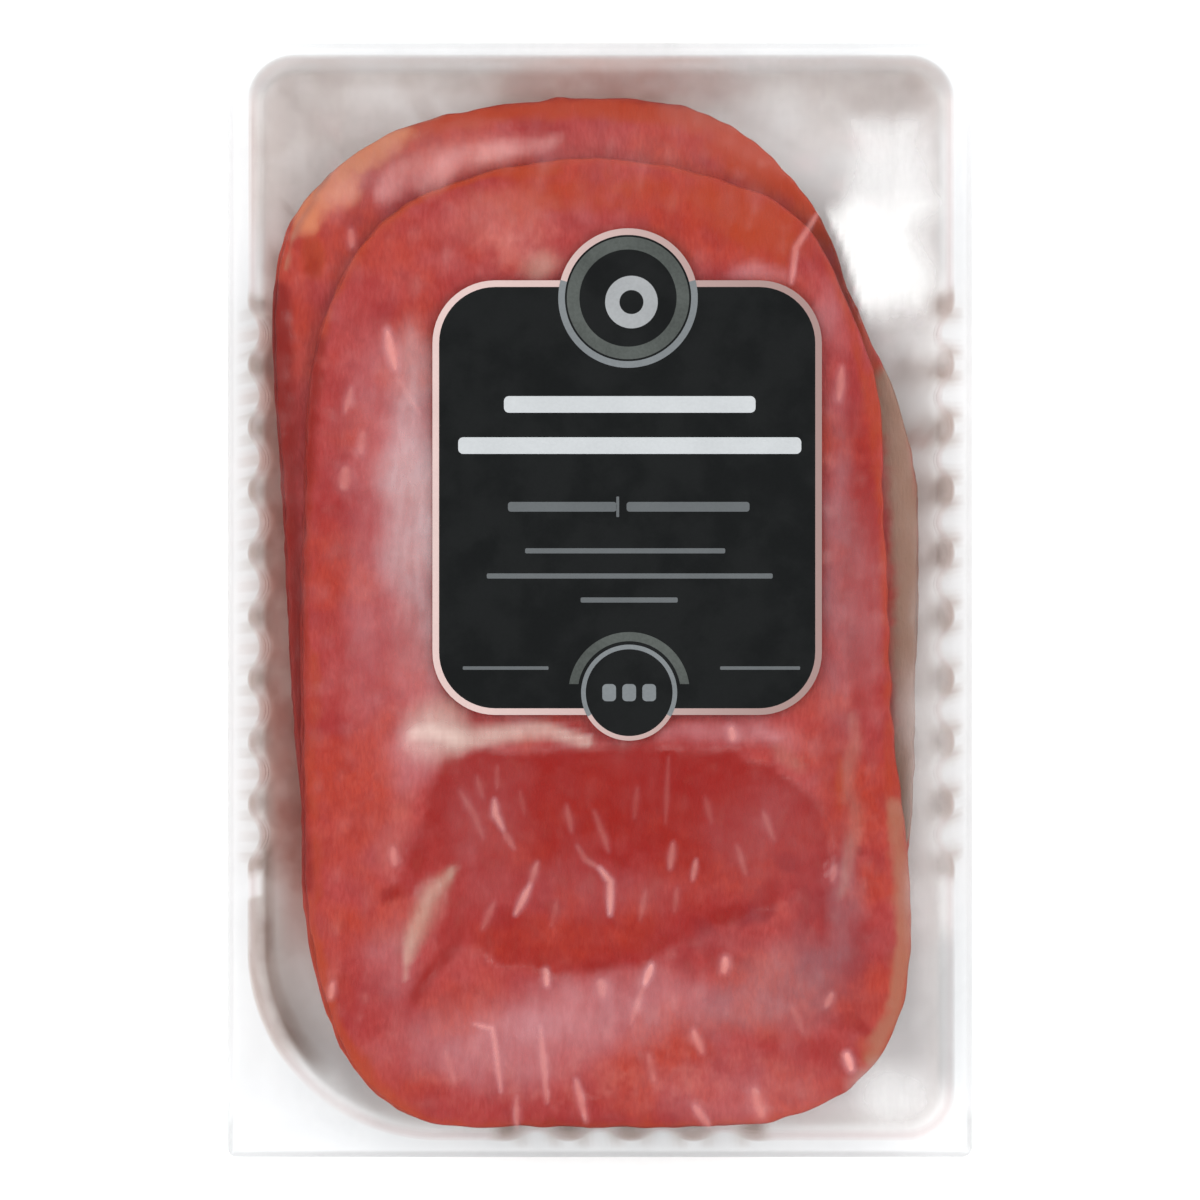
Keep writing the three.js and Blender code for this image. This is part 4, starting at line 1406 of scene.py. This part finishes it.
class LOINPACK_OT_film(bpy.types.Operator):
    """Add the clear lid film, drawn down over the slices and sealed on the flange"""

    bl_idname = "mesh.loinpack_film"
    bl_label = "Add Lid Film"

    def execute(self, context):
        look = context.scene.loin_pack.film
        relief = context.scene.loin_pack.slices.relief
        nothing_selected()
        across, along = FILM_CELLS
        bpy.ops.mesh.primitive_grid_add(x_subdivisions=across, y_subdivisions=along, size=1.0)
        piece = name_piece("clear_lid_film")
        bpy.ops.object.mode_set(mode="EDIT")
        bpy.ops.mesh.select_all(action="SELECT")
        bpy.ops.transform.resize(value=(2 * HALF_WIDTH, 2 * HALF_LENGTH, 1.0))
        self.refine(piece)
        bpy.ops.object.mode_set(mode="OBJECT")
        place = coordinates(piece)
        place[:, :2] = self.round_corners(place[:, :2])
        x, y = place[:, 0], place[:, 1]
        place[:, 2] = film_underside(x, y, look.billow, relief)
        set_coordinates(piece, place)
        haze_and_glare, tone = haze_and_glare_places(x, y, look)
        paint(piece, "haze_and_glare", haze_and_glare)
        paint_colour(piece, "milk_and_glare", tone)
        set_upright(piece)
        apply_modifier(piece, "SOLIDIFY", thickness=look.thickness, offset=1.0)
        bpy.ops.object.shade_smooth()
        finish_piece(piece, film_material(), "clear_film", "lid_film")
        return {"FINISHED"}

    def refine(self, piece):
        """The faces along the wrinkles are subdivided."""
        bpy.ops.mesh.select_mode(type="FACE")
        bpy.ops.mesh.select_all(action="DESELECT")
        shape = bmesh.from_edit_mesh(piece.data)
        faces = list(shape.faces)
        middles = np.array([face.calc_center_median()[:2] for face in faces])
        near = np.zeros(len(faces), bool)
        for points, half_width, _, _ in WRINKLES:
            path = np.array(points, float) * MM
            distance, _ = along_path(middles[:, 0], middles[:, 1], path)
            near |= distance < REFINED_REACH + half_width * MM * 0.5
        for face, is_near in zip(faces, near):
            face.select = bool(is_near)
        shape.select_flush_mode()
        bmesh.update_edit_mesh(piece.data)
        bpy.ops.mesh.subdivide(number_cuts=3)

    def round_corners(self, flat):
        """Points past the pack's round corners are drawn in to them."""
        corner = np.array([HALF_WIDTH - PACK_CORNER, HALF_LENGTH - PACK_CORNER])
        over = np.maximum(np.abs(flat) - corner, 0.0)
        reach = np.maximum(np.hypot(*over.T), 1e-12)
        shrink = np.minimum(PACK_CORNER / reach, 1.0)
        moved = np.minimum(np.abs(flat), corner) + over * shrink[:, None]
        return np.sign(flat) * moved


# ---- Label ---------------------------------------------------------------------------------------


def thicken(thickness):
    """The selected faces of the piece that is edited become a plate."""
    bpy.ops.mesh.extrude_region_move(TRANSFORM_OT_translate={"value": (0.0, 0.0, thickness)})
    bpy.ops.mesh.select_all(action="SELECT")


def finish_editing():
    bpy.ops.mesh.normals_make_consistent(inside=False)
    bpy.ops.object.mode_set(mode="OBJECT")


def add_plate(name, middle, size, corner, corner_steps, thickness):
    """A flat plate with round corners. Its middle is that of its lower face."""
    nothing_selected()
    bpy.ops.mesh.primitive_plane_add(size=1.0)
    piece = name_piece(name)
    bpy.ops.object.mode_set(mode="EDIT")
    bpy.ops.mesh.select_all(action="SELECT")
    bpy.ops.transform.resize(value=(*size, 1.0))
    bpy.ops.mesh.bevel(offset=corner, segments=corner_steps, affect="VERTICES")
    bpy.ops.mesh.select_all(action="SELECT")
    thicken(thickness)
    bpy.ops.transform.translate(value=middle)
    finish_editing()
    return piece


def add_bar(middle_x, middle_y, length, height, thickness):
    """A printed bar with round ends. The first four are millimetres."""
    middle = (middle_x * MM, middle_y * MM, LABEL_HIGH.z)
    size = (length * MM, height * MM)
    return add_plate("bar", middle, size, BAR_ROUNDING * min(size), BAR_CORNER_STEPS, thickness)


def add_ring(middle, outer, inner, z, thickness, lowest=None):
    """A ring, or a disc where `inner` is 0, or the part of it above `lowest`."""
    nothing_selected()
    bpy.ops.mesh.primitive_circle_add(vertices=RING_POINTS, radius=outer, fill_type="NGON")
    piece = name_piece("ring")
    bpy.ops.object.mode_set(mode="EDIT")
    bpy.ops.mesh.select_mode(type="FACE")
    bpy.ops.mesh.select_all(action="SELECT")
    if inner:
        bpy.ops.mesh.inset(thickness=outer - inner)
        bpy.ops.mesh.delete(type="FACE")
        bpy.ops.mesh.select_all(action="SELECT")
    bpy.ops.transform.translate(value=(middle[0], middle[1], z))
    if lowest is not None:
        cut = {"plane_co": (0.0, lowest, 0.0), "plane_no": (0.0, 1.0, 0.0)}
        bpy.ops.mesh.bisect(clear_inner=True, **cut)
        bpy.ops.mesh.select_all(action="SELECT")
    thicken(thickness)
    finish_editing()
    return piece


def join_pieces(name, pieces):
    nothing_selected()
    for piece in pieces:
        piece.select_set(True)
    bpy.context.view_layer.objects.active = pieces[0]
    bpy.ops.object.join()
    return name_piece(name)


PANEL_CORNER_STEPS = 14
# A bar's corners: their radius as a share of the bar's smaller side, and the steps round each.
BAR_ROUNDING = 0.3
BAR_CORNER_STEPS = 5
RING_POINTS = 96
# The outer and inner radius of each badge's band, and how far the low one starts above its middle.
TOP_BAND = (10.7 * MM, 8.5 * MM)
LOW_BAND = (10.6 * MM, 9.0 * MM)
LOW_BAND_START = 1.5 * MM
# The top badge's mark is a ring: its middle off the badge's, and its outer and inner radius.
TOP_MARK = (0.6 * MM, -0.7 * MM, 4.6 * MM, 2.1 * MM)
# The low badge's marks are bars of this length and height, this many millimetres apart.
LOW_MARK = (2.4, 3.0)
LOW_MARK_STEP = 3.5
# Printed bars: middle x and y, length and height in millimetres.
WHITE_BARS = ((5.2, 34.2, 44, 2.9), (5.2, 27, 60, 2.9))
GREY_BARS = (
    (-6.6, 16.3, 19, 1.7), (3.1, 16.3, 0.5, 3.6), (15.4, 16.3, 21.5, 1.7), (4.4, 8.6, 35, 0.9),
    (5.2, 4.2, 50, 0.9), (5.1, 0.0, 17, 0.9), (-16.5, -11.9, 15, 0.6), (28, -11.9, 14, 0.6),
)


class LOINPACK_OT_label(bpy.types.Operator):
    """Add the dark label with its badges, border and plain bars"""

    bl_idname = "mesh.loinpack_label"
    bl_label = "Add Label"

    def execute(self, context):
        look = context.scene.loin_pack.label
        plate = self.plate(look)
        ground = printed_material("label_ground", look.ground, 0.5)
        cream = printed_material("label_cream", look.cream, 0.12, look.cream_dull)
        plate.data.materials.append(ground)
        plate.data.materials.append(cream)
        finish_piece(plate, None, "label", "label")
        self.badges(look, cream, ground)
        self.bars(look)
        return {"FINISHED"}

    def plate(self, look):
        """The label itself, with its border as a strip of its own faces."""
        thickness = LABEL_HIGH.z - LABEL_LOW.z
        middle = ((PANEL_LEFT + PANEL_RIGHT) / 2, (PANEL_BOTTOM + PANEL_TOP) / 2, LABEL_LOW.z)
        size = (PANEL_RIGHT - PANEL_LEFT, PANEL_TOP - PANEL_BOTTOM)
        corner = (PANEL_CORNER, PANEL_CORNER_STEPS)
        piece = add_plate("label_plate", middle, size, *corner, thickness)
        for *middle, radius in (TOP_BADGE, LOW_BADGE):
            disc = add_ring(middle, radius, 0.0, LABEL_LOW.z, thickness)
            apply_modifier(piece, "BOOLEAN", object=disc, operation="UNION", solver="EXACT")
            bpy.data.objects.remove(disc)
        self.inset_border(piece, look)
        return piece

    def inset_border(self, piece, look):
        nothing_selected()
        piece.select_set(True)
        bpy.context.view_layer.objects.active = piece
        bpy.ops.object.mode_set(mode="EDIT")
        bpy.ops.mesh.select_all(action="SELECT")
        bpy.ops.mesh.dissolve_limited(angle_limit=math.radians(1.0))
        bpy.ops.mesh.select_mode(type="FACE")
        bpy.ops.mesh.select_all(action="DESELECT")
        shape = bmesh.from_edit_mesh(piece.data)
        for face in shape.faces:
            face.select = face.normal.z > 0.9
        bmesh.update_edit_mesh(piece.data)
        bpy.ops.mesh.inset(thickness=look.border, use_boundary=True)
        shape = bmesh.from_edit_mesh(piece.data)
        for face in shape.faces:
            face.material_index = 0 if face.select or face.normal.z < -0.9 else 1
        bmesh.update_edit_mesh(piece.data)
        bpy.ops.object.mode_set(mode="OBJECT")

    def badges(self, look, cream, ground):
        """Discs, rings and plain marks of the two badges."""
        z = LABEL_HIGH.z
        ink = look.ink
        *top, radius = TOP_BADGE
        *low, low_radius = LOW_BADGE
        grey = printed_material("label_grey", tuple(1.5 * value for value in look.grey), 0.3)
        dim = printed_material("label_dim_grey", look.dim, 0.9)
        white = printed_material("label_mark", tuple(0.6 * value for value in look.white), 0.3)
        discs = [
            add_ring(top, radius - 0.5 * look.border, 0.0, z, ink),
            add_ring(low, low_radius - 0.5 * look.border, 0.0, z, ink),
        ]
        finish_piece(join_pieces("badge_discs", discs), ground, "label")
        rings = [
            add_ring(top, radius, radius - look.border, z, 2 * ink),
            add_ring(low, low_radius, low_radius - 0.7 * look.border, z, 2 * ink),
        ]
        ring = join_pieces("badge_rings", rings)
        ring.data.materials.append(cream)
        ring.data.materials.append(grey)
        for face in ring.data.polygons:
            on_panel = PANEL_BOTTOM < face.center.y < PANEL_TOP
            face.material_index = 1 if on_panel else 0
        finish_piece(ring, None, "label")
        bands = [
            add_ring(top, *TOP_BAND, z, 2 * ink),
            add_ring(low, *LOW_BAND, z, 2 * ink, lowest=low[1] + LOW_BAND_START),
        ]
        finish_piece(join_pieces("badge_bands", bands), dim, "label")
        aside, up, *radii = TOP_MARK
        mark = add_ring((top[0] + aside, top[1] + up), *radii, z, 3 * ink)
        finish_piece(join_pieces("badge_mark", [mark]), white, "label")
        marks = [
            add_bar(low[0] / MM + step * LOW_MARK_STEP, low[1] / MM, *LOW_MARK, 3 * ink)
            for step in (-1, 0, 1)
        ]
        finish_piece(join_pieces("low_badge_marks", marks), grey, "label")

    def bars(self, look):
        plans = (("white_bars", look.white, WHITE_BARS), ("grey_bars", look.grey, GREY_BARS))
        for name, tone, plan in plans:
            bars = join_pieces(name, [add_bar(*bar, 2 * look.ink) for bar in plan])
            finish_piece(bars, printed_material(f"label_{name}", tone, 0.15), "label")


# ---- Stage ---------------------------------------------------------------------------------------

# The floor lies this little under the pack, so that their faces don't fight.
FLOOR_GAP = 0.05 * MM
FLOOR_SIZE = 6.0
SENSOR_WIDTH = 36.0
SKY_STRENGTH = 0.28
# Softboxes: name, place, width, height and power.
SOFTBOXES = (
    ("softbox_right", (0.92, 0.25, 0.6), 1.1, 1.0, 14.6),
    ("softbox_left", (-0.92, 0.05, 0.6), 1.1, 1.0, 13.6),
    ("softbox_far", (0.15, 0.9, 0.62), 1.5, 0.9, 8.4),
    ("softbox_near", (-0.1, -0.9, 0.62), 1.3, 0.8, 9.6),
)


class LOINPACK_OT_stage(bpy.types.Operator):
    """Add the pale floor, the softboxes and the camera that looks straight down"""

    bl_idname = "scene.loinpack_stage"
    bl_label = "Add Stage"

    def execute(self, context):
        look = context.scene.loin_pack.stage
        self.camera(context, look)
        self.lights(context)
        nothing_selected()
        bpy.ops.mesh.primitive_plane_add(size=FLOOR_SIZE)
        floor = name_piece("studio_floor")
        bpy.ops.object.mode_set(mode="EDIT")
        bpy.ops.mesh.subdivide(number_cuts=8)
        bpy.ops.transform.translate(value=(0.0, 0.0, -FLOOR_GAP))
        bpy.ops.object.mode_set(mode="OBJECT")
        floor.data.materials.append(floor_material(look.floor))
        return {"FINISHED"}

    def camera(self, context, look):
        data = bpy.data.cameras.new("camera")
        data.lens = look.lens
        data.sensor_width = SENSOR_WIDTH
        data.clip_end = 20.0
        camera = bpy.data.objects.new("camera", data)
        context.scene.collection.objects.link(camera)
        camera.location = (0.0, 0.0, FLANGE_TOP + look.frame_width * data.lens / SENSOR_WIDTH)
        context.scene.camera = camera

    def lights(self, context):
        for name, place, width, height, power in SOFTBOXES:
            data = bpy.data.lights.new(name, "AREA")
            data.shape = "RECTANGLE"
            data.size = width
            data.size_y = height
            data.energy = power
            light = bpy.data.objects.new(name, data)
            light.location = place
            light.rotation_euler = (-Vector(place)).to_track_quat("-Z", "Y").to_euler()
            context.scene.collection.objects.link(light)
        world = bpy.data.worlds.new("studio")
        world.use_nodes = True
        sky = world.node_tree.nodes["Background"]
        sky.inputs["Color"].default_value = (1.0, 1.0, 1.0, 1.0)
        sky.inputs["Strength"].default_value = SKY_STRENGTH
        context.scene.world = world
        context.scene.view_settings.view_transform = "Standard"


# ---- Panel and registration ----------------------------------------------------------------------

OPERATORS = (
    LOINPACK_OT_tray,
    LOINPACK_OT_slices,
    LOINPACK_OT_film,
    LOINPACK_OT_label,
    LOINPACK_OT_stage,
)
GROUPS = ("tray", "slices", "film", "label", "stage")


class LOINPACK_PT_sidebar(bpy.types.Panel):
    """The pack's pieces, each with what can be changed on it"""

    bl_label = "Loin Pack"
    bl_space_type = "VIEW_3D"
    bl_region_type = "UI"
    bl_category = "Loin Pack"

    def draw(self, context):
        for group_name, operator in zip(GROUPS, OPERATORS):
            group = getattr(context.scene.loin_pack, group_name)
            box = self.layout.box()
            box.operator(operator.bl_idname)
            for name in group.bl_rna.properties.keys():
                if name not in ("rna_type", "name"):
                    box.prop(group, name)


CLASSES = (
    LOINPACK_PG_tray,
    LOINPACK_PG_slices,
    LOINPACK_PG_film,
    LOINPACK_PG_label,
    LOINPACK_PG_stage,
    LOINPACK_PG_pack,
    *OPERATORS,
    LOINPACK_PT_sidebar,
)


def register():
    for cls in CLASSES:
        bpy.utils.register_class(cls)
    bpy.types.Scene.loin_pack = PointerProperty(type=LOINPACK_PG_pack)


def unregister():
    del bpy.types.Scene.loin_pack
    for cls in reversed(CLASSES):
        bpy.utils.unregister_class(cls)


def main():
    register()
    bpy.ops.scene.loinpack_stage()
    bpy.ops.mesh.loinpack_tray()
    bpy.ops.mesh.loinpack_slices()
    bpy.ops.mesh.loinpack_film()
    bpy.ops.mesh.loinpack_label()


if __name__ == "__main__":
    main()
